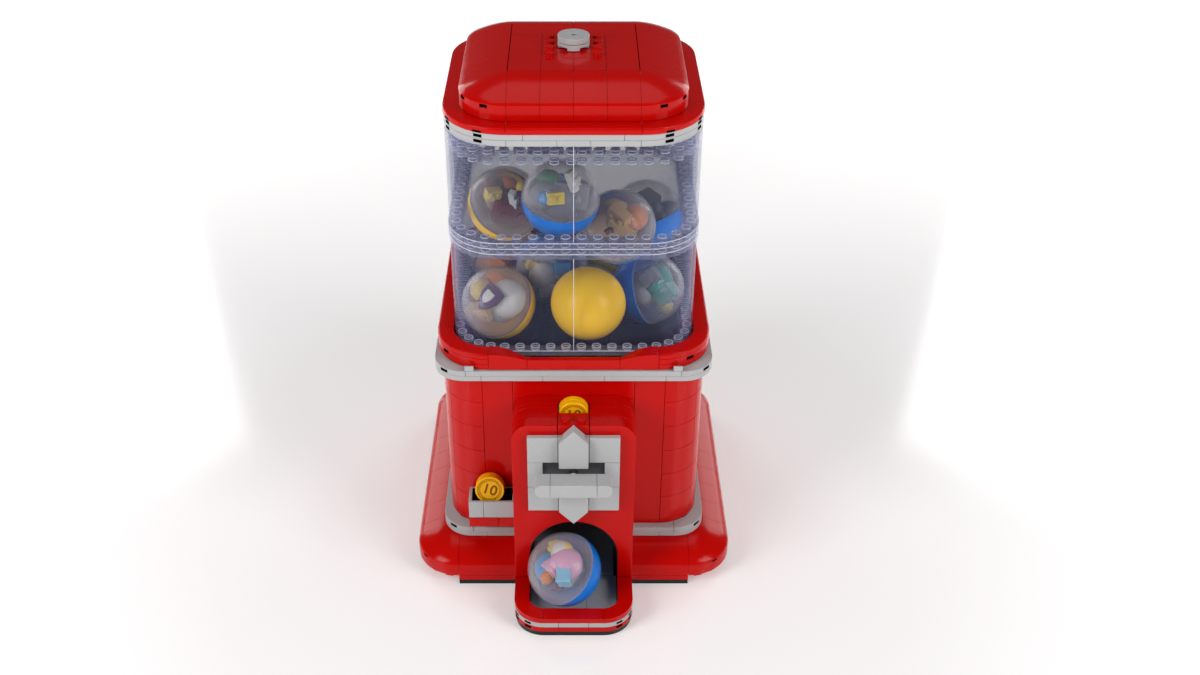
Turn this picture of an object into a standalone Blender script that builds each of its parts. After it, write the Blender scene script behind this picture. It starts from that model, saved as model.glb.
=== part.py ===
"""Brick-built capsule toy machine: red body, clear hopper with capsules, coin dial and dispensing tray.

Run with: blender --background --python part.py, or from Blender's text editor. Metres, +Z up.
Origin: on the carousel's vertical axis, at the underside of the base plate. The front faces -Y.
Everything is laid out on a brick grid: STUD is the pitch in plan and PLATE is the thinnest layer.
"""

from math import asin, cos, pi, sin, sqrt

import bmesh
import bpy
from mathutils import Matrix, Vector

MM = 0.001

# Driving dimensions, in millimetres until they reach a mesh
STUD = 8.0
PLATE = 3.2
GAP = 0.3  # clear space kept between two pieces that rest on or beside each other
WALL = 4.0  # thickness of the body's wall panels

BASE_HALF = 11 * STUD  # half the width of the skirt
BASE_CORNER = 3 * STUD
BODY_HALF = 69.4  # half the width of the red body
BODY_CORNER = 21.4
TRIM_HALF = 73.0  # half the width of both grey trim rings
TRIM_CORNER = 2 * STUD
SILL_CORNER = 26.0
COLLAR_HALF = 9 * STUD
COLLAR_CORNER = 28.0
WINDOW_HALF = 63.4
WINDOW_CORNER = 26.0
WINDOW_WALL = 1.6
LID_HALF = 8 * STUD
LID_CORNER = 4 * STUD
DOME_HALF = 7 * STUD
DOME_CORNER = 3 * STUD
POD_HALF = 4 * STUD  # half the width of the dispenser at the front
POD_FRONT = -12 * STUD
TRAY_FRONT = -16 * STUD
TRAY_CORNER = 2 * STUD
RAIL = STUD  # width of the dispenser's side rails and of the tray's rim

# Heights of the layers
Z_FOOT = PLATE
Z_TRAY = 4 * PLATE
Z_LIP = 4.5 * PLATE
Z_SKIRT = 7 * PLATE
Z_LOWER_TRIM = 9 * PLATE
Z_BODY = 40 * PLATE
Z_UPPER_TRIM = 42 * PLATE
Z_DIP = 42.75 * PLATE
Z_SILL = 43 * PLATE
Z_COLLAR = 45 * PLATE
Z_FRONT_TILE = 44 * PLATE
Z_WINDOW_BASE = 44 * PLATE
Z_MID_LOW = 61 * PLATE
Z_MID_HIGH = 64 * PLATE
Z_BAND = 80.25 * PLATE
Z_LID = 82.25 * PLATE
Z_LID_TOP = 83.25 * PLATE
Z_RIDGE = 85.9 * PLATE
Z_DOME = 88.25 * PLATE
Z_KNOB = 90.25 * PLATE

# Drive
DIAL_Z = 87.2
AXLE_RADIUS = 4.0
RUNNING = 0.35  # radial clearance of a turning shaft in its bore
GEAR_RATIO = 4
PINION_TEETH = 10
RACK_RADIUS = 59.25  # middle of the carousel's ring of teeth
TOOTH_FACE = 5.5  # width of that ring
ADDENDUM = 2.0
DEDENDUM = 2.4
CAROUSEL_RADIUS = RACK_RADIUS + TOOTH_FACE / 2
Z_CAROUSEL = 130.4
POCKETS = 4
POCKET_RADIUS = 21.0
POCKET_CENTRE = 34.0
DECK_THICK = 3.2
SHAFT_RADIUS = 4.0  # the carousel's upright shaft

# Contents
CAPSULE_RADIUS = 19.9
CAPSULE_WALL = 1.5
COIN_RADIUS = 7.9
COIN_THICK = 6.4

RED = ("red_plastic", (0.62, 0.012, 0.008), 0.25, 0.0, 1.0)
GREY = ("light_grey_plastic", (0.42, 0.42, 0.42), 0.3, 0.0, 1.0)
DARK = ("dark_grey_plastic", (0.09, 0.09, 0.095), 0.35, 0.0, 1.0)
BLACK = ("black_plastic", (0.012, 0.012, 0.014), 0.35, 0.0, 1.0)
CLEAR = ("clear_plastic", (0.75, 0.78, 0.9), 0.05, 0.0, 0.3)
YELLOW = ("yellow_plastic", (0.85, 0.5, 0.01), 0.3, 0.0, 1.0)
BLUE = ("blue_plastic", (0.01, 0.2, 0.6), 0.3, 0.0, 1.0)
FRONT, LEFT, BACK = -pi / 2, pi, pi / 2
MATERIALS = {}


# ---------------------------------------------------------------- tools


def material(spec):
    """A Principled material made once for each named colour."""
    name, colour, roughness, metallic, alpha = spec
    if name not in MATERIALS:
        made = bpy.data.materials.new(name)
        made.use_nodes = True
        made.diffuse_color = (*colour, alpha)
        shader = made.node_tree.nodes["Principled BSDF"]
        shader.inputs["Base Color"].default_value = (*colour, 1.0)
        shader.inputs["Roughness"].default_value = roughness
        shader.inputs["Metallic"].default_value = metallic
        shader.inputs["Alpha"].default_value = alpha
        MATERIALS[name] = made
    return MATERIALS[name]


def solid(name, points, faces, spec, origin=(0, 0, 0)):
    """An object from points in millimetres, its origin at a point, its faces turned outwards."""
    mesh = bpy.data.meshes.new(name)
    centre = Vector(origin)
    mesh.from_pydata([(Vector(p) - centre) * MM for p in points], [], faces)
    work = bmesh.new()
    work.from_mesh(mesh)
    bmesh.ops.remove_doubles(work, verts=work.verts, dist=1e-6)
    bmesh.ops.recalc_face_normals(work, faces=work.faces)
    work.to_mesh(mesh)
    work.free()
    mesh.materials.append(material(spec))
    obj = bpy.data.objects.new(name, mesh)
    obj.location = centre * MM
    bpy.context.scene.collection.objects.link(obj)
    return obj


def prism(name, outline, low, high, spec, axis="Z", origin=(0, 0, 0)):
    """An outline extruded from low to high. On axis Y the outline is (x, z), on axis X it is (y, z)."""
    place = {
        "X": lambda a, b, h: (h, a, b),
        "Y": lambda a, b, h: (a, h, b),
        "Z": lambda a, b, h: (a, b, h),
    }[axis]
    count = len(outline)
    points = [place(a, b, low) for a, b in outline]
    points += [place(a, b, high) for a, b in outline]
    faces = [list(range(count)), list(range(count, 2 * count))]
    for i in range(count):
        j = (i + 1) % count
        faces.append([i, j, count + j, count + i])
    return solid(name, points, faces, spec, origin)


def box(name, low, high, spec):
    """A block between two opposite corners."""
    outline = [(low[0], low[1]), (high[0], low[1]), (high[0], high[1]), (low[0], high[1])]
    return prism(name, outline, low[2], high[2], spec)


def arc(centre, radius, start, end, steps):
    """Points along an arc, both ends included."""
    return [
        (centre[0] + radius * cos(start + (end - start) * i / steps),
         centre[1] + radius * sin(start + (end - start) * i / steps))
        for i in range(steps + 1)
    ]


def circle(radius, steps, centre=(0.0, 0.0), turned=0.0):
    return arc(centre, radius, turned, turned + 2 * pi, steps)[:-1]


def mirrored(right):
    """An outline symmetric about x = 0 from its right-hand points, which run from bottom to top."""
    return right + [(-x, y) for x, y in reversed(right)]


def boolean(obj, other, operation):
    """Adds a Boolean and hides the other object, which only shapes this one."""
    made = obj.modifiers.new(operation.title() + "_" + other.name, "BOOLEAN")
    made.operation = operation
    made.object = other
    other.hide_render = True
    other.display_type = "WIRE"
    return obj


def cut(obj, *cutters):
    for cutter in cutters:
        boolean(obj, cutter, "DIFFERENCE")
    return obj


def fuse(obj, *others):
    for other in others:
        boolean(obj, other, "UNION")
    return obj


def perimeter(half, corner):
    return 8 * (half - corner) + 2 * pi * corner


def stations(half, corner, start, end, steps):
    """(point, outward normal) along a rounded square, from distance start to end, both measured along it
    from the middle of the front towards +X. A full turn leaves out the repeated last station."""
    flat, bend = half - corner, pi * corner / 2
    side = 2 * flat + bend
    stops = []
    for k in range(5):
        stops += [k * side - flat, k * side + flat]
        stops += [k * side + flat + bend * i / steps for i in range(1, steps)]
    full = perimeter(half, corner)
    whole = abs(end - start - full) < 1e-6
    places = sorted({round(s, 6) for s in stops if start + 1e-4 < s < end - 1e-4})
    places = [start, *places] if whole else [start, *places, end]
    found = []
    for s in places:
        k, along = divmod(s + flat, side)
        turn = k * pi / 2
        if along <= 2 * flat:
            point, normal = Vector((along - flat, -half)), Vector((0, -1))
        else:
            angle = (along - 2 * flat) / corner - pi / 2
            normal = Vector((cos(angle), sin(angle)))
            point = Vector((flat, -flat)) + corner * normal
        spin = Matrix.Rotation(turn, 2)
        found.append((spin @ point, spin @ normal))
    return found, whole


def sweep(name, half, corner, profile, spec, start=None, end=None, steps=6):
    """A profile of (inward offset, z) points carried along a rounded square, all round or along a part."""
    if start is None:
        start, end = 0.0, perimeter(half, corner)
    path, whole = stations(half, corner, start, end, steps)
    count = len(profile)
    points = []
    for point, normal in path:
        for inward, z in profile:
            place = point - normal * inward
            points.append((place.x, place.y, z))
    faces = []
    for i in range(len(path) if whole else len(path) - 1):
        a, b = i * count, (i + 1) % len(path) * count
        for j in range(count):
            k = (j + 1) % count
            faces.append([a + j, a + k, b + k, b + j])
    if not whole:
        faces.append(list(range(count)))
        faces.append([(len(path) - 1) * count + j for j in range(count)])
    return solid(name, points, faces, spec)


def slab(deep, low, high):
    """A rectangular profile for sweep()."""
    return [(0, low), (0, high), (deep, high), (deep, low)]


def turned(name, profile, steps, spec, origin=(0, 0, 0), direction=(0, 0, 1)):
    """A (radius, height) profile turned about an axis. A radius of 0 closes the shape at a point."""
    points, rings = [], []
    for radius, height in profile:
        if radius < 1e-9:
            rings.append([len(points)])
            points.append(Vector((0, 0, height)))
            continue
        rings.append(list(range(len(points), len(points) + steps)))
        points += [Vector((x, y, height)) for x, y in circle(radius, steps)]
    faces = []
    count = len(rings)
    for n in range(count):
        a, b = rings[n], rings[(n + 1) % count]
        if len(a) == 1 and len(b) == 1:
            continue
        for i in range(steps):
            j = (i + 1) % steps
            quad = [a[i % len(a)], a[j % len(a)], b[j % len(b)], b[i % len(b)]]
            faces.append(list(dict.fromkeys(quad)))
    spin = Vector((0, 0, 1)).rotation_difference(Vector(direction).normalized()).to_matrix()
    placed = [spin @ p + Vector(origin) for p in points]
    return solid(name, placed, faces, spec, origin)


def cylinder(name, radius, low, high, steps, spec, axis="Z", centre=(0, 0)):
    return prism(name, circle(radius, steps, centre), low, high, spec, axis)


# ---------------------------------------------------------------- base and body


def make_base():
    """The black plate that the machine stands on, with a tongue under the tray and its corners cut away."""
    reach, inset = BASE_HALF - 0.6, BASE_HALF - BASE_CORNER
    right = arc((POD_HALF - TRAY_CORNER, TRAY_FRONT + TRAY_CORNER), TRAY_CORNER - 0.6, -pi / 2, 0, 4)
    right += [(POD_HALF - 0.6, -reach), (inset, -reach), (inset, -inset), (reach, -inset)]
    right += [(reach, inset), (inset, inset), (inset, reach)]
    prism("base_plate", mirrored(right), 0, Z_FOOT, BLACK)


def make_skirt():
    """The sloping red skirt, in a left and a right half that meet at the back and leave room for the tray."""
    inner = BASE_CORNER - 0.4
    profile = [
        (0, Z_FOOT + GAP),
        (0, Z_LIP),
        (1.2, Z_LIP + 1.0),
        (BASE_HALF - TRIM_HALF - 1.5, Z_SKIRT),
        (inner, Z_SKIRT),
        (inner, Z_FOOT + GAP),
    ]
    full = perimeter(BASE_HALF, BASE_CORNER)
    edge = POD_HALF + GAP
    sweep("skirt_right", BASE_HALF, BASE_CORNER, profile, RED, edge, full / 2 - GAP / 2)
    sweep("skirt_left", BASE_HALF, BASE_CORNER, profile, RED, full / 2 + GAP / 2, full - edge)


def make_trim():
    """The grey rings below and above the body. The lower one is open behind the dispenser."""
    full = perimeter(TRIM_HALF, TRIM_CORNER)
    edge = POD_HALF + GAP
    deep = TRIM_HALF - BODY_HALF + WALL
    lower = slab(deep, Z_SKIRT + GAP, Z_LOWER_TRIM)
    sweep("lower_trim_ring", TRIM_HALF, TRIM_CORNER, lower, GREY, edge, full - edge)
    upper = slab(TRIM_HALF - CAROUSEL_RADIUS - 1.0, Z_BODY + GAP, Z_UPPER_TRIM)
    sweep("upper_trim_ring", TRIM_HALF, TRIM_CORNER, upper, GREY)


def make_walls():
    """The body's wall panels and its rounded corner columns; the rear wall carries its two corners."""
    low, high = Z_LOWER_TRIM + GAP, Z_BODY
    profile = slab(WALL, low, high)
    full = perimeter(BODY_HALF, BODY_CORNER)
    flat, quarter = BODY_HALF - BODY_CORNER, full / 4
    joint = GAP / 2

    def panel(name, start, end):
        return sweep(name, BODY_HALF, BODY_CORNER, profile, RED, start + joint, end - joint)

    front = panel("front_wall", -flat, flat)
    opening = box(
        "front_opening",
        (-POD_HALF + RAIL - GAP, -BODY_HALF - 1, low - 1),
        (POD_HALF - RAIL + GAP, -BODY_HALF + WALL + 1, Z_BODY - 4 * PLATE),
        RED,
    )
    cut(front, opening)
    panel("corner_front_right", flat, quarter - flat)
    panel("right_wall", quarter - flat, quarter + flat)
    panel("rear_wall", quarter + flat, 3 * quarter - flat)
    panel("left_wall", 3 * quarter - flat, 3 * quarter + flat)
    panel("corner_front_left", 3 * quarter + flat, full - flat)


def make_collar():
    """The red collar round the foot of the window. At the front it curves down behind an upright tile."""
    sill_half = LID_HALF + 2.0
    lower, upper = COLLAR_HALF - sill_half - GAP, COLLAR_HALF - WINDOW_HALF - GAP
    profile = [
        (0, Z_UPPER_TRIM + GAP),
        (0, Z_COLLAR - 0.8),
        (0.8, Z_COLLAR),
        (upper, Z_COLLAR),
        (upper, Z_SILL + GAP),
        (lower, Z_SILL + GAP),
        (lower, Z_UPPER_TRIM + GAP),
    ]
    collar = sweep("rim_collar", COLLAR_HALF, COLLAR_CORNER, profile, RED)
    middle, run, rise = 3 * STUD, 2.5 * STUD, Z_COLLAR - Z_DIP
    right = [(middle + run * i / 6, Z_DIP + rise * sin(pi / 2 * i / 6)) for i in range(6)]
    right += [(middle + run, Z_COLLAR + 0.2), (middle + run, Z_COLLAR + 2)]
    tile_rear = -COLLAR_HALF + PLATE
    over_tile = [(middle, Z_FRONT_TILE), *right]
    front = prism("front_dip", mirrored(over_tile), -COLLAR_HALF - 1, tile_rear + 0.5, RED, "Y")
    rear = prism("rear_dip", mirrored(right), tile_rear, -WINDOW_HALF + 2, RED, "Y")
    cut(collar, front, rear)
    sill = slab(sill_half - 7 * STUD, Z_UPPER_TRIM + GAP, Z_SILL)
    sweep("hopper_sill", sill_half, SILL_CORNER, sill, BLACK)


# ---------------------------------------------------------------- hopper window and lid


def make_window():
    """Two tiers of four clear corner panels between clear rings, and the grey band on top."""
    ring = STUD
    base = slab(WINDOW_HALF - 7.25 * STUD, Z_SILL + GAP, Z_WINDOW_BASE)
    sweep("window_base_ring", WINDOW_HALF, WINDOW_CORNER, base, CLEAR)
    middle = slab(ring, Z_MID_LOW + GAP, Z_MID_HIGH)
    sweep("window_mid_ring", LID_HALF, WINDOW_CORNER + 0.6, middle, CLEAR)
    quarter = perimeter(WINDOW_HALF, WINDOW_CORNER) / 4
    tiers = (("lower", Z_WINDOW_BASE + GAP, Z_MID_LOW), ("upper", Z_MID_HIGH + GAP, Z_BAND))
    sides = ("front_right", "rear_right", "rear_left", "front_left")
    for tier, low, high in tiers:
        for k, side in enumerate(sides):
            sweep(
                f"{tier}_panel_{side}",
                WINDOW_HALF,
                WINDOW_CORNER,
                slab(WINDOW_WALL, low, high),
                CLEAR,
                k * quarter + GAP / 2,
                (k + 1) * quarter - GAP / 2,
            )
    sweep("top_band", LID_HALF, LID_CORNER, slab(STUD, Z_BAND + GAP, Z_LID), GREY)


def make_lid():
    """The lift-off lid: a flat plate with a locating lip, a hollow dome with studs and a round knob."""
    lip = STUD + 0.7
    edge = 0.5
    half = LID_HALF + 0.3
    plate = [
        (0, Z_LID + GAP),
        (0, Z_LID_TOP - edge),
        (edge, Z_LID_TOP),
        (lip + 3.2, Z_LID_TOP),
        (lip + 3.2, Z_LID - PLATE),
        (lip, Z_LID - PLATE),
        (lip, Z_LID + GAP),
    ]
    sweep("lid_plate", half, LID_CORNER, plate, RED)

    flat = DOME_CORNER - 0.6  # the slope's run, from the ridge in to the flat top
    rise = Z_DOME - Z_RIDGE
    slope = [
        (0.4 + (flat - 0.4) * i / 5, Z_RIDGE + rise * (i / 5 + 2 * sin(pi * i / 10)) / 3) for i in range(6)
    ]
    outer = [(0, Z_LID_TOP + GAP), (0, Z_RIDGE - 0.6), *slope]
    shell = 3.0
    inner = [(flat - 1, Z_DOME - shell), (shell, Z_RIDGE - 3), (shell, Z_LID_TOP + GAP)]
    loops = outer + inner
    path, _ = stations(DOME_HALF, DOME_CORNER, 0.0, perimeter(DOME_HALF, DOME_CORNER), 6)
    points = []
    for inward, z in loops:
        for point, normal in path:
            place = point - normal * inward
            points.append((place.x, place.y, z))
    count = len(path)
    rings = [[n * count + i for i in range(count)] for n in range(len(loops))]
    faces = [rings[len(outer) - 1], rings[len(outer)]]
    for n in range(len(loops)):
        if n == len(outer) - 1:
            continue
        a, b = rings[n], rings[(n + 1) % len(loops)]
        faces += [[a[i], a[(i + 1) % count], b[(i + 1) % count], b[i]] for i in range(count)]
    dome = solid("lid_dome", points, faces, RED)
    for side in (-1, 1):
        for k in range(4):
            place = (side * 1.5 * STUD, (k - 1.5) * STUD)
            stud = cylinder(f"stud_{side}_{k}", 2.4, Z_DOME - 1, Z_DOME + 1.8, 8, RED, centre=place)
            fuse(dome, stud)
    low = Z_DOME + GAP
    profile = [(0, low), (STUD, low), (STUD, Z_KNOB), (2.5, Z_KNOB), (2.5, Z_KNOB - 2), (0, Z_KNOB - 2)]
    turned("lid_knob", profile, 20, GREY)


# ---------------------------------------------------------------- dispensing mechanism


def pinion_outline(turn):
    """The pinion's outline in x and z about its own axis, with a gap between teeth straight up at turn 0."""
    pitch_radius = RACK_RADIUS / GEAR_RATIO
    root, tip = pitch_radius - DEDENDUM, pitch_radius + ADDENDUM
    root_half, pitch_half, tip_half = 2.15, 1.55, 0.75  # half the tooth's width at three radii
    outline = []
    for k in range(PINION_TEETH):
        middle = pi / 2 + 2 * pi * (k + 0.5) / PINION_TEETH + turn
        for radius, half in (
            (root, -root_half), (pitch_radius, -pitch_half), (tip, -tip_half),
            (tip, tip_half), (pitch_radius, pitch_half), (root, root_half),
        ):
            angle = middle + asin(half / radius)
            outline.append((radius * cos(angle), radius * sin(angle)))
    return outline


def make_carousel():
    """The four-pocket wheel, with a ring of teeth round the underside of its rim."""
    pitch_plane = DIAL_Z + RACK_RADIUS / GEAR_RATIO
    root, tip = pitch_plane + DEDENDUM, pitch_plane - ADDENDUM
    teeth = PINION_TEETH * GEAR_RATIO
    root_half, tip_half = 2.2, 0.8
    inner, outer = RACK_RADIUS - TOOTH_FACE / 2, CAROUSEL_RADIUS
    points, faces = [], []
    for k in range(teeth):
        middle = FRONT + 2 * pi * k / teeth
        for half, z in ((-root_half, root), (-tip_half, tip), (tip_half, tip), (root_half, root)):
            angle = middle + half / RACK_RADIUS
            for radius, height in ((inner, z), (outer, z), (outer, root + 3), (inner, root + 3)):
                points.append((radius * cos(angle), radius * sin(angle), height))
    count = 4 * teeth
    for i in range(count):
        a, b = 4 * i, 4 * ((i + 1) % count)
        for j in range(4):
            k = (j + 1) % 4
            faces.append([a + j, a + k, b + k, b + j])
    ring = solid("tooth_ring", points, faces, BLACK)
    low = Z_DECK + GAP
    wheel = cylinder("carousel", inner - 0.5, low, Z_CAROUSEL, 48, BLACK)
    rim = cylinder("carousel_rim", outer - 0.2, root + 1, Z_CAROUSEL, 48, BLACK)
    fuse(wheel, rim, ring)
    for k in range(POCKETS):
        angle = FRONT + 2 * pi * k / POCKETS
        place = (POCKET_CENTRE * cos(angle), POCKET_CENTRE * sin(angle))
        pocket = cylinder(f"pocket_{k}", POCKET_RADIUS, low - 5, Z_CAROUSEL + 1, 24, BLACK, centre=place)
        cut(wheel, pocket)
    bore = cylinder("carousel_bore", SHAFT_RADIUS + RUNNING, low - 1, Z_CAROUSEL + 1, 16, BLACK)
    cut(wheel, bore)


def make_deck():
    """The fixed deck under the carousel, on four legs, with a drop hole at the back, and its shaft."""
    half = BODY_HALF - WALL - 0.8
    low = Z_DECK - DECK_THICK
    deck = sweep_plate("hopper_deck", half, BODY_CORNER - WALL - 0.8, low, Z_DECK, BLACK)
    for x in (-1, 1):
        for y in (-1, 1):
            near, far = 5.5 * STUD, 6.5 * STUD
            corner = sorted((x * near, x * far)), sorted((y * near, y * far))
            leg = box(
                f"deck_leg_{x}_{y}",
                (corner[0][0], corner[1][0], Z_FOOT + GAP),
                (corner[0][1], corner[1][1], low + 1),
                BLACK,
            )
            fuse(deck, leg)
    notch = box("pinion_notch", (-18, -half - 1, low - 1), (18, -RACK_RADIUS + 8, Z_DECK + 1), BLACK)
    drop = cylinder("drop_hole", POCKET_RADIUS + 0.5, low - 1, Z_DECK + 1, 24, BLACK, centre=(0, POCKET_CENTRE))
    seat = cylinder("shaft_seat", SHAFT_RADIUS + 0.3, low - 1, Z_DECK + 1, 16, BLACK)
    cut(deck, notch, drop, seat)
    head = SHAFT_RADIUS + 3.2
    profile = [
        (0, low - 1.9),
        (head, low - 1.9),
        (head, low - GAP),
        (SHAFT_RADIUS, low - GAP),
        (SHAFT_RADIUS, Z_CAROUSEL + GAP),
        (0, Z_CAROUSEL + GAP),
    ]
    turned("carousel_shaft", profile, 16, DARK)


def sweep_plate(name, half, corner, low, high, spec):
    """A solid plate with a rounded square outline."""
    path, _ = stations(half, corner, 0.0, perimeter(half, corner), 4)
    return prism(name, [(p.x, p.y) for p, _ in path], low, high, spec)


def make_shield():
    """The curved shield that covers the drop pocket, so that only one capsule falls at a time."""
    low = Z_CAROUSEL + 0.4
    outer, inner = 7 * STUD - 0.6, SHAFT_RADIUS + 2
    spread = 0.62  # half the angle it covers
    right = arc((0, 0), outer, BACK - spread, BACK, 5)[:-1]
    left = arc((0, 0), outer, BACK, BACK + spread, 5)
    near = [(-inner * sin(spread), inner * cos(spread)), (inner * sin(spread), inner * cos(spread))]
    prism("drop_shield", right + left + near, low, low + 1.6, BLACK)


def make_chute():
    """The grey ramp from under the drop hole down to the tray, where its floor has rounded front corners."""
    half, side, thick, tall = POD_HALF - RAIL - GAP, 2.0, 2.0, 10.0
    front, rear = (-7 * STUD, CHUTE_FLOOR + 9.4), (7.4 * STUD, CHUTE_FLOOR + 39.4)
    corner = TRAY_CORNER - RAIL - GAP
    nose = arc((half - corner, TRAY_FRONT + TRAY_CORNER), corner, -pi / 2, 0, 4)
    outline = mirrored([*nose, (half, POD_FRONT)])
    chute = prism("capsule_chute", outline, CHUTE_FLOOR - thick, CHUTE_FLOOR, GREY)
    ramp = [(POD_FRONT - 1, CHUTE_FLOOR), (POD_FRONT, CHUTE_FLOOR), front, rear]
    under = [(y, z - thick) for y, z in reversed(ramp)]
    fuse(chute, prism("ramp", ramp + under, -half, half, GREY, "X"))
    wall = [(POD_FRONT + RAIL, CHUTE_FLOOR - 1), (front[0], front[1] - 1), (rear[0], rear[1] - 1)]
    wall += [(rear[0], rear[1] + tall), (front[0], front[1] + tall), (POD_FRONT + RAIL, CHUTE_FLOOR + tall)]
    for x in (-1, 1):
        near, far = sorted((x * half, x * (half - side)))
        fuse(chute, prism(f"chute_side_{x}", wall, near, far, GREY, "X"))
    stop = box("chute_back", (-half, rear[0] - side, rear[1] - 1), (half, rear[0], rear[1] + 24), GREY)
    fuse(chute, stop)


# ---------------------------------------------------------------- dispenser front


def tray_outline(outer, corner, rear):
    """Right half of the tray's outline, from the middle of the front round to the rear."""
    centre = (outer - corner, TRAY_FRONT + (POD_HALF - outer) + corner)
    return [*arc(centre, corner, -pi / 2, 0, 6), (outer, rear)]


def make_tray():
    """The tray under the dispenser: a red body with a grey band let into it."""
    rear = -BODY_HALF - 1.0
    inner = list(reversed(tray_outline(POD_HALF - RAIL, TRAY_CORNER - RAIL, rear)))

    def layer(name, low, high, inset, spec):
        outer = tray_outline(POD_HALF - inset, TRAY_CORNER - inset, rear)
        left = [(-x, y) for x, y in reversed(outer)]
        inside = inner + [(-x, y) for x, y in reversed(inner)]
        return prism(name, left + outer + inside, low, high, spec)

    groove = 2.4
    body = layer("tray_body", Z_FOOT + GAP, Z_TRAY, 0, RED)
    band = layer("band_space", 2 * PLATE, 3 * PLATE, -1, RED)
    core = layer("band_core", 2 * PLATE - 1, 3 * PLATE + 1, groove, RED)
    cut(body, cut(band, core))
    trim = layer("tray_trim", 2 * PLATE + GAP, 3 * PLATE - GAP, 0, GREY)
    room = layer("trim_core", 2 * PLATE - 1, 3 * PLATE + 1, groove - GAP, GREY)
    cut(trim, room)


def make_pod():
    """The dispenser housing: a hollow box with round top corners, an arched mouth and the axle's bore."""
    corner = 1.25 * STUD
    top = POD_TOP
    right = [(POD_HALF, Z_TRAY + GAP), *arc((POD_HALF - corner, top - corner), corner, 0, pi / 2, 5)]
    rear = -BODY_HALF - GAP
    pod = prism("dispenser_housing", mirrored(right), POD_FRONT, rear, RED, "Y")
    inner = POD_HALF - RAIL
    front_wall = 0.75 * STUD
    cavity = box("pod_cavity", (-inner, POD_FRONT + front_wall, Z_TRAY - 1), (inner, rear + 1, top - STUD), RED)
    mouth = [(inner, Z_TRAY - 1), *arc((0, ARCH_Z), inner, 0, pi / 2, 8)[:-1], (0, ARCH_Z + inner)]
    arch = prism("mouth", mirrored(mouth[:-1]) , POD_FRONT - 1, POD_FRONT + front_wall + 1, RED, "Y")
    bore = cylinder("axle_bore", AXLE_RADIUS + RUNNING, POD_FRONT - 1, POD_FRONT + front_wall + 1, 16, RED, "Y", (0, DIAL_Z))
    seat = box(
        "block_seat",
        (-STUD - GAP, POD_FRONT - 1, BLOCK_LOW - GAP),
        (STUD + GAP, COIN_Y + COIN_THICK / 2 + 0.5, top + 1),
        RED,
    )
    coin_mouth = box(
        "coin_mouth",
        (-POD_HALF - 1, GUIDE_FRONT, COIN_TRAY_HIGH + 1.5),
        (-inner + 1, GUIDE_REAR, 78.0),
        RED,
    )
    cut(pod, cavity, arch, bore, seat, coin_mouth)


def make_coin_block():
    """The red block in front of the coin slot, level with the dispenser's top, with two studs and two holes."""
    top = POD_TOP
    block = box("coin_slot_block", (-STUD, POD_FRONT, BLOCK_LOW), (STUD, GUIDE_FRONT - GAP, top), RED)
    for x in (-0.5, 0.5):
        place = (x * STUD, POD_FRONT + STUD / 2)
        stud = cylinder(f"block_stud_{x}", 2.4, top - 1, top + 1.4, 10, RED, centre=place)
        hollow = (x * STUD, BLOCK_LOW + 3.7)
        hole = cylinder(f"block_hole_{x}", 2.4, POD_FRONT - 1, POD_FRONT + 2.5, 10, RED, "Y", hollow)
        fuse(block, stud)
        cut(block, hole)


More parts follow.
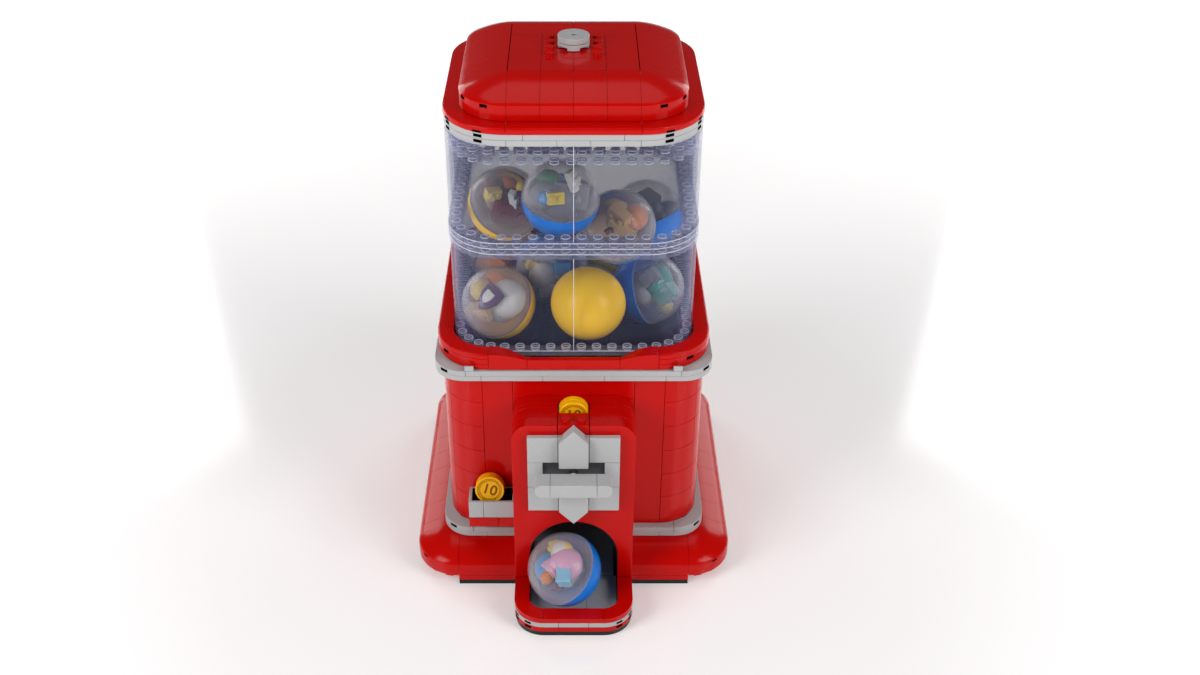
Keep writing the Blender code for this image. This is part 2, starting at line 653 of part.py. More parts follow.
def make_dial():
    """The grey plate behind the handle, its dark backing, the two arrows, and the turning parts."""
    half = 3 * STUD
    back = POD_FRONT - GAP
    face = back - PLATE + GAP
    backing_thick = 1.2
    backing = box("dial_backing", (-2 * STUD, back - backing_thick, DIAL_Z - STUD), (2 * STUD, back, DIAL_Z + STUD), DARK)
    plate = box("dial_plate", (-half, face, DIAL_Z - half), (half, back, DIAL_Z + half), GREY)
    window = box(
        "dial_window",
        (-2 * STUD - GAP, face - 1, DIAL_Z - STUD - GAP),
        (2 * STUD + GAP, back + 1, DIAL_Z + STUD + GAP),
        GREY,
    )
    cut(plate, window)
    bore = cylinder("backing_bore", AXLE_RADIUS + RUNNING, back - PLATE, back + 1, 16, DARK, "Y", (0, DIAL_Z))
    cut(backing, bore)
    tip, long = STUD, 3 * STUD
    for name, sign in (("arrow_upper", 1), ("arrow_lower", -1)):
        outer = DIAL_Z + sign * ARROW_REACH
        shoulder, foot = outer - sign * tip, outer - sign * long
        outline = [(-STUD + 0.4, foot), (STUD - 0.4, foot), (STUD - 0.4, shoulder), (0, outer), (-STUD + 0.4, shoulder)]
        arrow = prism(name, outline, face - PLATE, face - GAP, GREY, "Y")
        edge = DIAL_Z + sign * (half + GAP)
        cap = [(-STUD + 0.4, edge), (STUD - 0.4, edge), (STUD - 0.4, shoulder), (0, outer), (-STUD + 0.4, shoulder)]
        if sign * (shoulder - edge) < 0:
            reach = sign * (outer - edge)
            cap = [(-reach * (STUD - 0.4) / tip, edge), (reach * (STUD - 0.4) / tip, edge), (0, outer)]
        fuse(arrow, prism(name + "_step", cap, face - GAP - 0.5, back, GREY, "Y"))

    boss_radius, handle_high = 4.0, back - 2 * PLATE - GAP
    handle_low = handle_high - 10.0
    span, tall, round_end = 2.5 * STUD, STUD / 2, 3.4
    right = arc((span - round_end, DIAL_Z - tall + round_end), round_end, -pi / 2, 0, 4)
    right += arc((span - round_end, DIAL_Z + tall - round_end), round_end, 0, pi / 2, 4)
    handle = prism("dial_handle", mirrored(right), handle_low, handle_high, GREY, "Y", (0, handle_high, DIAL_Z))
    boss = cylinder("handle_boss", boss_radius, handle_high - 1, back - backing_thick - 0.4, 16, GREY, "Y", (0, DIAL_Z))
    socket = cylinder("handle_socket", AXLE_RADIUS + 0.3, handle_high - 5, back, 16, GREY, "Y", (0, DIAL_Z))
    fuse(handle, boss)
    cut(handle, socket)
    rear = -RACK_RADIUS + TOOTH_FACE / 2 + 2.0
    axle = [(AXLE_RADIUS * x, DIAL_Z + AXLE_RADIUS * z) for x, z in circle(1.0, 16)]
    prism("dial_axle", axle, handle_high - 4.6, rear, DARK, "Y", (0, rear, DIAL_Z))
    gear_low, gear_high = -CAROUSEL_RADIUS, -RACK_RADIUS + TOOTH_FACE / 2
    outline = [(x, z + DIAL_Z) for x, z in pinion_outline(0.0)]
    pinion = prism("drive_pinion", outline, gear_low, gear_high, DARK, "Y", (0, gear_low, DIAL_Z))
    hub = cylinder("pinion_bore", AXLE_RADIUS + 0.3, gear_low - 1, gear_high + 1, 16, DARK, "Y", (0, DIAL_Z))
    cut(pinion, hub)


# ---------------------------------------------------------------- coins and capsules


def make_coin_tray():
    """The grey cup beside the dispenser on its red shelf, and the closed guide that leads coins to it."""
    rear, front, right = -BODY_HALF - GAP, COIN_TRAY_FRONT, -POD_HALF - GAP
    cup = box("coin_tray", (COIN_TRAY_LEFT, front, COIN_TRAY_LOW), (right, rear, COIN_TRAY_HIGH), GREY)
    hollow = box(
        "coin_tray_hollow",
        (COIN_TRAY_LEFT + 1.6, front + 1.6, COIN_TRAY_FLOOR),
        (right - 1.2, rear - 0.8, COIN_TRAY_HIGH + 1),
        GREY,
    )
    cut(cup, hollow)
    shelf_low = COIN_TRAY_LOW - 2 * PLATE
    box("coin_shelf", (COIN_TRAY_LEFT, front, shelf_low), (right, rear, COIN_TRAY_LOW - GAP), RED)

    skin = 1.2
    reach = POD_HALF - RAIL - GAP
    half = COIN_RADIUS + 0.3
    turn, drop = DIAL_Z + 16.3, DIAL_Z + 2.3  # where the passage leaves the slot, and where it falls straight
    bend = half - 14.0
    floor, roof = DIAL_Z - 16.7, DIAL_Z - 9.2
    inside = [
        (half, POD_TOP),
        (half, turn),
        (bend, drop),
        (bend, floor),
        (-reach - 2, floor - 10.0),
        (-reach - 2, roof),
        (-reach + skin, roof),
        (-reach + skin, drop + 2.5),
        (-half, turn + 2.7),
        (-half, POD_TOP),
    ]
    top = POD_TOP - STUD - 0.4
    outside = [
        (half + skin, top),
        (half + skin, turn - 0.5),
        (bend + skin, drop - 0.5),
        (bend + skin, floor - 0.7),
        (-reach, floor - 11.9),
        (-reach, drop + 3.1),
        (-half - skin, turn + 3.1),
        (-half - skin, top),
    ]
    guide = prism("coin_guide", outside, GUIDE_FRONT, GUIDE_REAR, GREY, "Y")
    passage = prism("coin_passage", inside, GUIDE_FRONT + 0.9, GUIDE_REAR - 0.9, GREY, "Y")
    cut(guide, passage)


def make_coins():
    """One coin standing in the slot and one lying in the coin tray, each with a raised rim and a shallow face."""
    def coin(name, centre, direction):
        half, lip, deep = COIN_THICK / 2, 1.3, 0.4
        profile = [
            (0, -half), (COIN_RADIUS, -half), (COIN_RADIUS, half),
            (COIN_RADIUS - lip, half), (COIN_RADIUS - lip, half - deep), (0, half - deep),
        ]
        turned(name, profile, 20, YELLOW, centre, direction)

    coin("coin_in_slot", (0, COIN_Y, COIN_Z), (0, -1, 0))
    coin("coin_in_tray", COIN_IN_TRAY, COIN_LEAN)


def capsule_half(name, centre, direction, spec):
    """A thin hemispherical shell whose rim lies just off the capsule's middle plane."""
    inner, steps, rings = CAPSULE_RADIUS - CAPSULE_WALL, 20, 5
    start = asin(GAP / 2 / inner)
    outer_start = asin(GAP / 2 / CAPSULE_RADIUS)
    profile = []
    for i in range(rings + 1):
        angle = outer_start + (pi / 2 - outer_start) * i / rings
        profile.append((CAPSULE_RADIUS * cos(angle) if i < rings else 0.0, CAPSULE_RADIUS * sin(angle)))
    for i in range(rings, -1, -1):
        angle = start + (pi / 2 - start) * i / rings
        profile.append((inner * cos(angle) if i < rings else 0.0, inner * sin(angle)))
    turned(name, profile, steps, spec, centre, direction)


def whole_capsule(name, centre, spec):
    """A closed capsule in the hopper: a thin hollow ball with the small vent hole that capsules have."""
    inner, steps, rings = CAPSULE_RADIUS - CAPSULE_WALL, 14, 7
    vent = 1.6
    profile = []
    for radius, order in ((CAPSULE_RADIUS, range(rings)), (inner, range(rings - 1, -1, -1))):
        first = asin(vent / radius)
        for i in order:
            angle = first + (pi - first) * i / (rings - 1)
            ring = radius * sin(angle)
            profile.append((0.0 if i == rings - 1 else ring, -radius * cos(angle)))
    turned(name, profile, steps, spec, centre)


def make_capsules():
    """The dispensed capsule in the tray, in two halves, and the capsules that fill the hopper."""
    capsule_half("capsule_base", CAPSULE_CENTRE, [-a for a in CAPSULE_AXIS], BLUE)
    capsule_half("capsule_cover", CAPSULE_CENTRE, CAPSULE_AXIS, CLEAR)
    for n, (centre, spec) in enumerate(HOPPER_CAPSULES, start=1):
        whole_capsule(f"hopper_capsule_{n:02d}", centre, spec)


# Sizes that depend on several of the values above
Z_DECK = DIAL_Z + RACK_RADIUS / GEAR_RATIO - ADDENDUM - 0.6
ARCH_Z = 9 * PLATE
ARROW_REACH = 30.5
POD_TOP = 36.5 * PLATE
CHUTE_FLOOR = 6.6
BLOCK_LOW = DIAL_Z + 17.3
GUIDE_FRONT, GUIDE_REAR = -84.7, -75.5
COIN_TRAY_LEFT = -57.0
COIN_TRAY_FRONT = -83.0
COIN_TRAY_LOW = 44.6
COIN_TRAY_FLOOR = 50.7
COIN_TRAY_HIGH = 55.4
COIN_Y = -80.2
COIN_Z = POD_TOP - 2.8
COIN_IN_TRAY = (-45.5, -75.8, 59.6)
COIN_LEAN = (0.0, -0.966, 0.259)
CAPSULE_CENTRE = (-5.0, -104.8, 27.0)
CAPSULE_AXIS = (-0.62, -0.34, 0.7)
HOPPER_CAPSULES = (
    ((-35.6, -17.1, 202.9), YELLOW),
    ((-6.5, -40.5, 218.1), BLUE),
    ((23.3, -27.0, 194.5), BLUE),
    ((39.8, 7.8, 182.8), BLUE),
    ((-40.1, -32.9, 151.7), YELLOW),
    ((-11.8, -4.8, 157.0), BLUE),
    ((7.8, -40.5, 156.1), YELLOW),
    ((40.5, -17.4, 151.4), BLUE),
    ((-40.5, 22.9, 151.0), YELLOW),
    ((18.2, 22.8, 152.4), YELLOW),
)


def main():
    for obj in list(bpy.data.objects):
        bpy.data.objects.remove(obj)
    make_base()
    make_skirt()
    make_trim()
    make_walls()
    make_collar()
    make_window()
    make_lid()
    make_carousel()
    make_deck()
    make_shield()
    make_chute()
    make_tray()
    make_pod()
    make_coin_block()
    make_dial()
    make_coin_tray()
    make_coins()
    make_capsules()


main()
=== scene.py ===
"""Looks of the brick-built capsule toy machine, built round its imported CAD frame.

The frame is in metres. Lengths here are in millimetres until a mesh is made.
Heights come from the CAD nodes. Each sub-part is built again brick by brick, with open seams between bricks.
"""

from math import asin, cos, pi, radians, sin

import bmesh
import bpy
from mathutils import Matrix, Vector


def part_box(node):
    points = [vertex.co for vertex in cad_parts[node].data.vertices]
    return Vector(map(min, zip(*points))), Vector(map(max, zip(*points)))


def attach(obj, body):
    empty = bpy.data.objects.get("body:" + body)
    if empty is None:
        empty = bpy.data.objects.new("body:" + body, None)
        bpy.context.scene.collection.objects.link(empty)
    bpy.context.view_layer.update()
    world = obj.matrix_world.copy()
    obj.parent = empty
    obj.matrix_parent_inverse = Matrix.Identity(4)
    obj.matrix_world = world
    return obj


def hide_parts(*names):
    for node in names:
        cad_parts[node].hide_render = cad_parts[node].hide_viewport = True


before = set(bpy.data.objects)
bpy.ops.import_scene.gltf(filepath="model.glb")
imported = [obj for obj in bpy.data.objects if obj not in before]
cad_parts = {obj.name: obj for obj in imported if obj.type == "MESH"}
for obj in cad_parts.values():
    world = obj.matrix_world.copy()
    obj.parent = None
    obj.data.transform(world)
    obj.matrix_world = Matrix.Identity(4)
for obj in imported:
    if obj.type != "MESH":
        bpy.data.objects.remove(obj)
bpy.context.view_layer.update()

MM = 0.001
STUD = 8.0
PLATE = 3.2
SEAM = 0.07  # each brick's share of the open seam beside it
BEVEL = 0.22
STUD_RADIUS, STUD_TALL = 2.4, 1.7


def low(node):
    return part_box(node)[0] / MM


def high(node):
    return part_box(node)[1] / MM


# ---------------------------------------------------------------- materials


def principled(name):
    material = bpy.data.materials.new(name)
    material.use_nodes = True
    nodes, links = material.node_tree.nodes, material.node_tree.links
    return material, nodes, links, nodes["Principled BSDF"]


def surface_noise(nodes, links, shader, scale, rough_low, rough_high, bump):
    """Fine moulding texture: uneven roughness and a faint bump, in object space."""
    place = nodes.new("ShaderNodeTexCoord")
    broad = nodes.new("ShaderNodeTexNoise")
    broad.inputs["Scale"].default_value = scale
    broad.inputs["Detail"].default_value = 6
    links.new(place.outputs["Object"], broad.inputs["Vector"])
    spread = nodes.new("ShaderNodeMapRange")
    spread.inputs["From Min"].default_value = 0.3
    spread.inputs["From Max"].default_value = 0.7
    spread.inputs["To Min"].default_value = rough_low
    spread.inputs["To Max"].default_value = rough_high
    links.new(broad.outputs["Fac"], spread.inputs["Value"])
    links.new(spread.outputs["Result"], shader.inputs["Roughness"])
    fine = nodes.new("ShaderNodeTexNoise")
    fine.inputs["Scale"].default_value = scale * 12
    fine.inputs["Detail"].default_value = 3
    links.new(place.outputs["Object"], fine.inputs["Vector"])
    raised = nodes.new("ShaderNodeBump")
    raised.inputs["Strength"].default_value = bump
    raised.inputs["Distance"].default_value = 0.0002
    links.new(fine.outputs["Fac"], raised.inputs["Height"])
    links.new(raised.outputs["Normal"], shader.inputs["Normal"])
    return place, broad


def moulded(name, colour, shade, rough=(0.14, 0.24), gloss=0.2, bump=0.04):
    """Glossy moulded plastic whose colour drifts slightly between two tones, as dyed plastic does."""
    material, nodes, links, shader = principled(name)
    _, broad = surface_noise(nodes, links, shader, 26, *rough, bump)
    tones = nodes.new("ShaderNodeMix")
    tones.data_type = "RGBA"
    tones.inputs["A"].default_value = (*colour, 1)
    tones.inputs["B"].default_value = (*shade, 1)
    links.new(broad.outputs["Fac"], tones.inputs["Factor"])
    links.new(tones.outputs["Result"], shader.inputs["Base Color"])
    shader.inputs["IOR"].default_value = 1.5
    shader.inputs["Specular IOR Level"].default_value = gloss
    return material


def transparent(name, face, edge, face_alpha, edge_alpha, rough=(0.03, 0.08), bump=0.02, blend=0.25):
    """Clear plastic: nearly invisible face on and tinted towards grazing angles."""
    material, nodes, links, shader = principled(name)
    surface_noise(nodes, links, shader, 20, *rough, bump)
    weight = nodes.new("ShaderNodeLayerWeight")
    weight.inputs["Blend"].default_value = blend
    tones = nodes.new("ShaderNodeMix")
    tones.data_type = "RGBA"
    tones.inputs["A"].default_value = (*face, 1)
    tones.inputs["B"].default_value = (*edge, 1)
    links.new(weight.outputs["Facing"], tones.inputs["Factor"])
    links.new(tones.outputs["Result"], shader.inputs["Base Color"])
    opacity = nodes.new("ShaderNodeMapRange")
    opacity.inputs["To Min"].default_value = face_alpha
    opacity.inputs["To Max"].default_value = edge_alpha
    links.new(weight.outputs["Facing"], opacity.inputs["Value"])
    links.new(opacity.outputs["Result"], shader.inputs["Alpha"])
    shader.inputs["IOR"].default_value = 1.5
    shader.inputs["Coat Weight"].default_value = 0.6
    shader.inputs["Coat Roughness"].default_value = 0.03
    return material


RED = moulded("red_plastic", (0.56, 0.0022, 0.001), (0.51, 0.002, 0.001), (0.12, 0.2), 0.16)
GREY = moulded("light_grey_plastic", (0.47, 0.47, 0.475), (0.43, 0.43, 0.435), (0.24, 0.34), 0.2)
DARK = moulded("dark_grey_plastic", (0.085, 0.085, 0.09), (0.065, 0.065, 0.07), (0.25, 0.36), 0.25)
BLACK = moulded("black_plastic", (0.006, 0.006, 0.007), (0.010, 0.010, 0.011), (0.25, 0.4), 0.3)
# Painted shade: a near-black material for the dark sheets and discs put where gaps, holes and seams fall
# into shade.
SHADE_BLACK = moulded("shadow_black", (0.002, 0.001, 0.001), (0.003, 0.002, 0.002), (0.7, 0.9), 0.0)
YELLOW = moulded("capsule_yellow", (1.0, 0.60, 0.0005), (0.95, 0.55, 0.0005), (0.2, 0.3), 0.2)
BLUE = moulded("capsule_blue", (0.0005, 0.20, 0.72), (0.0005, 0.17, 0.65), (0.2, 0.3), 0.2)
GOLD = moulded("coin_yellow", (1.0, 0.50, 0.001), (0.95, 0.46, 0.001), (0.2, 0.3), 0.2)
PRINT = moulded("coin_print", (0.26, 0.10, 0.005), (0.22, 0.08, 0.005), (0.35, 0.5), 0.1)
PANEL = transparent("clear_panel", (0.20, 0.22, 0.40), (0.14, 0.15, 0.42), 0.006, 0.62)
# Painted shade: a darker, less clear copy of the clear panel, used for the rear panes.
SHADED_PANEL = transparent("clear_panel_rear_painted_shade", (0.15, 0.17, 0.23), (0.10, 0.11, 0.24), 0.50, 0.80)
CRYSTAL = transparent("clear_brick", (0.55, 0.57, 0.80), (0.50, 0.52, 0.80), 0.03, 0.70, (0.02, 0.06))
GLINT = transparent("clear_painted_highlight", (0.85, 0.87, 1.0), (0.85, 0.87, 1.0), 0.55, 0.9, (0.02, 0.06))
SHELL = transparent(
    "capsule_clear", (0.55, 0.53, 0.55), (0.70, 0.67, 0.70), 0.05, 0.60, (0.04, 0.10), blend=0.36
)
TOYS = {
    name: moulded("toy_" + name, colour, tuple(c * 0.8 for c in colour), (0.25, 0.4), 0.2)
    for name, colour in {
        "maroon": (0.16, 0.006, 0.012),
        "orange": (0.75, 0.20, 0.01),
        "tan": (0.62, 0.40, 0.17),
        "green": (0.0, 0.22, 0.09),
        "teal": (0.0, 0.33, 0.29),
        "white": (0.75, 0.75, 0.75),
        "pink": (0.78, 0.42, 0.62),
        "sky": (0.30, 0.62, 0.85),
        "azure": (0.02, 0.28, 0.70),
        "lemon": (0.88, 0.66, 0.10),
        "slate": (0.20, 0.22, 0.27),
        "brown": (0.14, 0.05, 0.02),
        "pale": (0.50, 0.50, 0.55),
        "violet": (0.10, 0.03, 0.14),
    }.items()
}


# ---------------------------------------------------------------- geometry


class Kit:
    """The points and faces of one piece, gathered brick by brick."""

    def __init__(self):
        self.points, self.faces = [], []

    def add(self, points, faces):
        base = len(self.points)
        self.points += [Vector(p) for p in points]
        self.faces += [[base + i for i in face] for face in faces]


def prism(kit, outline, lower, upper, axis="Z"):
    """An outline extruded along an axis: (x, y) on Z, (x, z) on Y and (y, z) on X."""
    place = {
        "X": lambda a, b, h: (h, a, b),
        "Y": lambda a, b, h: (a, h, b),
        "Z": lambda a, b, h: (a, b, h),
    }[axis]
    count = len(outline)
    points = [place(a, b, h) for h in (lower, upper) for a, b in outline]
    sides = [[i, (i + 1) % count, count + (i + 1) % count, count + i] for i in range(count)]
    kit.add(points, [list(range(count))[::-1], list(range(count, 2 * count)), *sides])


def box(kit, lower, upper):
    outline = [(lower[0], lower[1]), (upper[0], lower[1]), (upper[0], upper[1]), (lower[0], upper[1])]
    prism(kit, outline, lower[2], upper[2])


def arc(centre, radius, start, end, steps):
    return [
        (centre[0] + radius * cos(start + (end - start) * i / steps),
         centre[1] + radius * sin(start + (end - start) * i / steps))
        for i in range(steps + 1)
    ]


def mirrored(right):
    return right + [(-x, y) for x, y in reversed(right)]


def turned(kit, profile, steps, centre=(0, 0, 0), direction=(0, 0, 1)):
    """A (radius, height) profile turned about an axis; it is closed from its last point to its first."""
    spin = Vector((0, 0, 1)).rotation_difference(Vector(direction).normalized()).to_matrix()
    points, rings = [], []
    for radius, height in profile:
        first = len(points)
        around = steps if radius > 1e-9 else 1
        rings.append([first + i for i in range(around)])
        for i in range(around):
            angle = 2 * pi * i / steps
            points.append(spin @ Vector((radius * cos(angle), radius * sin(angle), height)) + Vector(centre))
    faces = []
    for n, a in enumerate(rings):
        b = rings[(n + 1) % len(rings)]
        if len(a) == len(b) == 1:
            continue
        for i in range(steps):
            j = (i + 1) % steps
            face = [a[i % len(a)], a[j % len(a)], b[j % len(b)], b[i % len(b)]]
            faces.append(list(dict.fromkeys(face)))
    kit.add(points, faces)


def ring(kit, inner, outer, lower, upper, steps, centre=(0, 0, 0), direction=(0, 0, 1)):
    """A turned rectangle: a disc where inner is 0."""
    profile = [(inner, lower), (outer, lower), (outer, upper), (inner, upper)]
    turned(kit, profile, steps, centre, direction)


def stud(kit, x, y, z, radius=STUD_RADIUS, tall=STUD_TALL):
    ring(kit, 0, radius, -0.3, tall, 18, (x, y, z))


def both_sides(kit, across, along, heights):
    """A box on each side of the middle plane: its spans along X, from the plane, along Y and along Z."""
    for side in (-1, 1):
        near, far = sorted(side * x for x in across)
        box(kit, (near, along[0], heights[0]), (far, along[1], heights[1]))


def perimeter(half, corner):
    return 8 * (half - corner) + 2 * pi * corner


def station(half, corner, s):
    """The point and outward normal at distance s round a rounded square.

    Distances start at the front's middle and run towards +X.
    """
    flat, bend = half - corner, pi * corner / 2
    side = 2 * flat + bend
    k, along = divmod(s + flat, side)
    if along <= 2 * flat or corner < 1e-6:
        point, normal = Vector((along - flat, -half)), Vector((0, -1))
    else:
        angle = (along - 2 * flat) / corner - pi / 2
        normal = Vector((cos(angle), sin(angle)))
        point = Vector((flat, -flat)) + corner * normal
    spin = Matrix.Rotation(k * pi / 2, 2)
    return spin @ point, spin @ normal


def run(kit, half, corner, profile, start, end, steps=12):
    """A closed (inward offset, z) profile carried along a rounded square from start to end."""
    flat, bend = half - corner, pi * corner / 2
    side = 2 * flat + bend
    stops = set()
    for k in range(-1, 5):
        stops |= {k * side + flat + bend * i / steps for i in range(steps + 1)}
    places = [start, *sorted(s for s in stops if start + 0.3 < s < end - 0.3), end]
    count = len(profile)
    points, faces = [], []
    for s in places:
        point, normal = station(half, corner, s)
        points += [(*(point - normal * inward), z) for inward, z in profile]
    for i in range(len(places) - 1):
        a, b = i * count, (i + 1) * count
        faces += [[a + j, b + j, b + (j + 1) % count, a + (j + 1) % count] for j in range(count)]
    faces += [list(range(count)), [(len(places) - 1) * count + j for j in reversed(range(count))]]
    kit.add(points, faces)


def slab(deep, lower, upper, inset=0.0):
    return [(inset, lower), (inset, upper), (deep, upper), (deep, lower)]


def offsets(half, corner, *across):
    """Distances of seams that lie at these offsets from each side's middle."""
    flat, bend = half - corner, pi * corner / 2
    side = 2 * flat + bend
    found = set()
    for k in range(4):
        found |= {round(k * side + sign * x, 4) for x in across for sign in (-1, 1)}
    full = perimeter(half, corner)
    return sorted({round(s % full, 4) for s in found})


def course(kit, half, corner, profile, seams, start=None, end=None):
    """One course of bricks round a rounded square: a run between each two neighbouring seams."""
    full = perimeter(half, corner)
    if start is None:
        stops = [*seams, seams[0] + full]
    else:
        stops = [start, *(s for s in seams if start + 1 < s < end - 1), end]
    for a, b in zip(stops, stops[1:]):
        run(kit, half, corner, profile, a + SEAM, b - SEAM)


def notches(kit, half, corner, lower, upper, shares=(0.5,), wide=4.6, proud=0.12, sides=range(4)):
    """Painted shade: dark sheets standing just proud of the corner bricks' outer faces where their gaps are.
    """
    flat, bend = half - corner, pi * corner / 2
    side = 2 * flat + bend
    for k in sides:
        for share in shares:
            middle = k * side + flat + bend * share
            profile = slab(1.5, lower, upper, -proud)
            run(kit, half, corner, profile, middle - wide / 2, middle + wide / 2)


def piece(name, kit, material, body="machine", replaces=(), bevel=BEVEL, segments=2):
    mesh = bpy.data.meshes.new(name)
    mesh.from_pydata([p * MM for p in kit.points], [], kit.faces)
    work = bmesh.new()
    work.from_mesh(mesh)
    bmesh.ops.recalc_face_normals(work, faces=work.faces)
    for face in work.faces:
        face.smooth = True
    work.to_mesh(mesh)
    work.free()
    mesh.set_sharp_from_angle(angle=radians(32))
    mesh.materials.append(material)
    obj = bpy.data.objects.new(name, mesh)
    bpy.context.scene.collection.objects.link(obj)
    if bevel:
        rounding = obj.modifiers.new("Bevel", "BEVEL")
        rounding.width = bevel * MM
        rounding.segments = segments
        rounding.limit_method = "ANGLE"
        rounding.angle_limit = radians(32)
        rounding.harden_normals = True
    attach(obj, body)
    if replaces:
        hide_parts(*replaces)
    return obj


# ---------------------------------------------------------------- base, skirt and trim rings


BASE_HALF, BASE_CORNER = high("skirt_right").x, 3 * STUD
TRIM_HALF, TRIM_CORNER = high("upper_trim_ring").x, 2 * STUD
BODY_HALF, BODY_CORNER = high("right_wall").x, high("right_wall").x - 6 * STUD
COLLAR_HALF, COLLAR_CORNER = high("rim_collar").x, 28.0
WINDOW_HALF, WINDOW_CORNER = high("window_base_ring").x, 26.0
BAND_HALF, BAND_CORNER = high("top_band").x, 4 * STUD
LID_HALF = high("lid_plate").x
DOME_HALF, DOME_CORNER = high("lid_dome").x, 3 * STUD
POD_HALF, POD_FRONT = high("dispenser_housing").x, low("dispenser_housing").y
POD_TOP, POD_LOW = high("dispenser_housing").z, low("dispenser_housing").z
TRAY_FRONT, TRAY_CORNER = low("tray_body").y, 2 * STUD
BODY_FACE = -BODY_HALF
RAIL = STUD
DIAL_Z = (low("dial_plate").z + high("dial_plate").z) / 2


def build_base():
    kit = Kit()
    top, reach, inset = high("base_plate").z, high("base_plate").x, BASE_HALF - BASE_CORNER
    both_sides(kit, (POD_HALF + SEAM, inset), (-reach, reach), (0, top))
    box(kit, (-POD_HALF + SEAM, BODY_FACE, 0), (POD_HALF - SEAM, reach, top))
    both_sides(kit, (inset + SEAM, reach), (-inset, inset), (0, top))
    corner = TRAY_CORNER - 0.6
    nose = arc((POD_HALF - TRAY_CORNER, TRAY_FRONT + TRAY_CORNER), corner, -pi / 2, 0, 12)
    prism(kit, mirrored([*nose, (nose[-1][0], BODY_FACE - SEAM)]), 0, top)
    piece("base_plates", kit, BLACK, replaces=["base_plate"])


def build_skirt():
    foot, lip = low("skirt_right").z, 4.5 * PLATE
    top, inner = high("skirt_right").z, BASE_CORNER - 0.4
    full, edge, corner_edge = perimeter(BASE_HALF, BASE_CORNER), POD_HALF + 0.3, BASE_HALF - BASE_CORNER
    slope = BASE_HALF - TRIM_HALF - 0.7
    crown = [
        (0, foot + PLATE + SEAM),
        (0, lip - 0.6),
        (0.15, lip),
        (0.9, lip + 1.1),
        (slope * 0.35, lip + 3.6),
        (slope * 0.7, lip + 6.0),
        (slope, top),
        (inner, top),
        (inner, foot + PLATE + SEAM),
    ]
    sides = [STUD * (2 * k + 1) for k in range(4)] + [corner_edge]
    side_length = full / 4
    seams = [
        s for s in offsets(BASE_HALF, BASE_CORNER, *sides)
        if side_length / 2 < s < full - side_length / 2 or abs(min(s, full - s) - corner_edge) < 1
    ]
    kit = Kit()
    course(kit, BASE_HALF, BASE_CORNER, crown, seams, edge, full - edge)
    lower = slab(6.0, foot, foot + PLATE - SEAM)
    for k in range(4):
        middle = k * side_length
        spans = [(-corner_edge, corner_edge)] if k else [(-corner_edge, -edge), (edge, corner_edge)]
        for a, b in spans:
            run(kit, BASE_HALF, BASE_CORNER, lower, middle + a + SEAM, middle + b - SEAM)
    piece("skirt_bricks", kit, RED, replaces=["skirt_left", "skirt_right"])
    corner = Kit()
    for k in range(4):
        flat, bend = BASE_HALF - BASE_CORNER, pi * BASE_CORNER / 2
        start = k * side_length + flat
        for share, length in ((0.16, 5.0), (0.5, 9.0), (0.84, 5.0)):
            middle = start + bend * share
            profile = slab(5.0, foot + 1.4, foot + PLATE, 1.2)
            run(corner, BASE_HALF, BASE_CORNER, profile, middle - length / 2, middle + length / 2)
    piece("skirt_corner_feet", corner, RED)
    # Painted shade in the corner bricks' notches.
    dark = Kit()
    notches(dark, BASE_HALF, BASE_CORNER, lip - 1.5, lip - 0.5, (0.42,), 3.4, 0.1)
    piece("skirt_notch_shades", dark, SHADE_BLACK, bevel=0)


def trim_ring(name, node, across, open_front=False):
    """A grey ring of two courses of plates whose corners are quarter-round plates, with painted shade in
    their notches.
    """
    bottom, top = low(node).z, high(node).z
    middle = bottom + (top - bottom) / 2
    deep = TRIM_HALF - BODY_HALF + 4
    full = perimeter(TRIM_HALF, TRIM_CORNER)
    span = (POD_HALF + 0.3, full - POD_HALF - 0.3) if open_front else (None, None)
    kit = Kit()
    lower = offsets(TRIM_HALF, TRIM_CORNER, *across[0])
    upper = offsets(TRIM_HALF, TRIM_CORNER, *across[1])
    course(kit, TRIM_HALF, TRIM_CORNER, slab(deep, bottom, middle - SEAM / 2), lower, *span)
    course(kit, TRIM_HALF, TRIM_CORNER, slab(deep, middle + SEAM / 2, top), upper, *span)
    piece(name, kit, GREY, replaces=[node])
    # Painted shade in the corner plates' notches.
    dark = Kit()
    notches(dark, TRIM_HALF, TRIM_CORNER, middle + 0.7, middle + 2.3, (0.55,), 4.6)
    piece(name + "_notch_shades", dark, SHADE_BLACK, bevel=0)


def build_trim():
    trim_ring("lower_trim", "lower_trim_ring", ((6 * STUD,), (7 * STUD,)), True)
    trim_ring("upper_trim", "upper_trim_ring", ((2 * STUD, 6 * STUD), (7 * STUD,)))
    kit = Kit()
    top, reach = high("upper_trim_ring").z, 6.75 * STUD
    along = (-COLLAR_HALF - 1.2, -COLLAR_HALF - 0.3)
    both_sides(kit, (reach - 2.4, reach + 2.4), along, (top + 0.2, top + PLATE))
    piece("trim_corner_clips", kit, GREY)


# ---------------------------------------------------------------- body walls


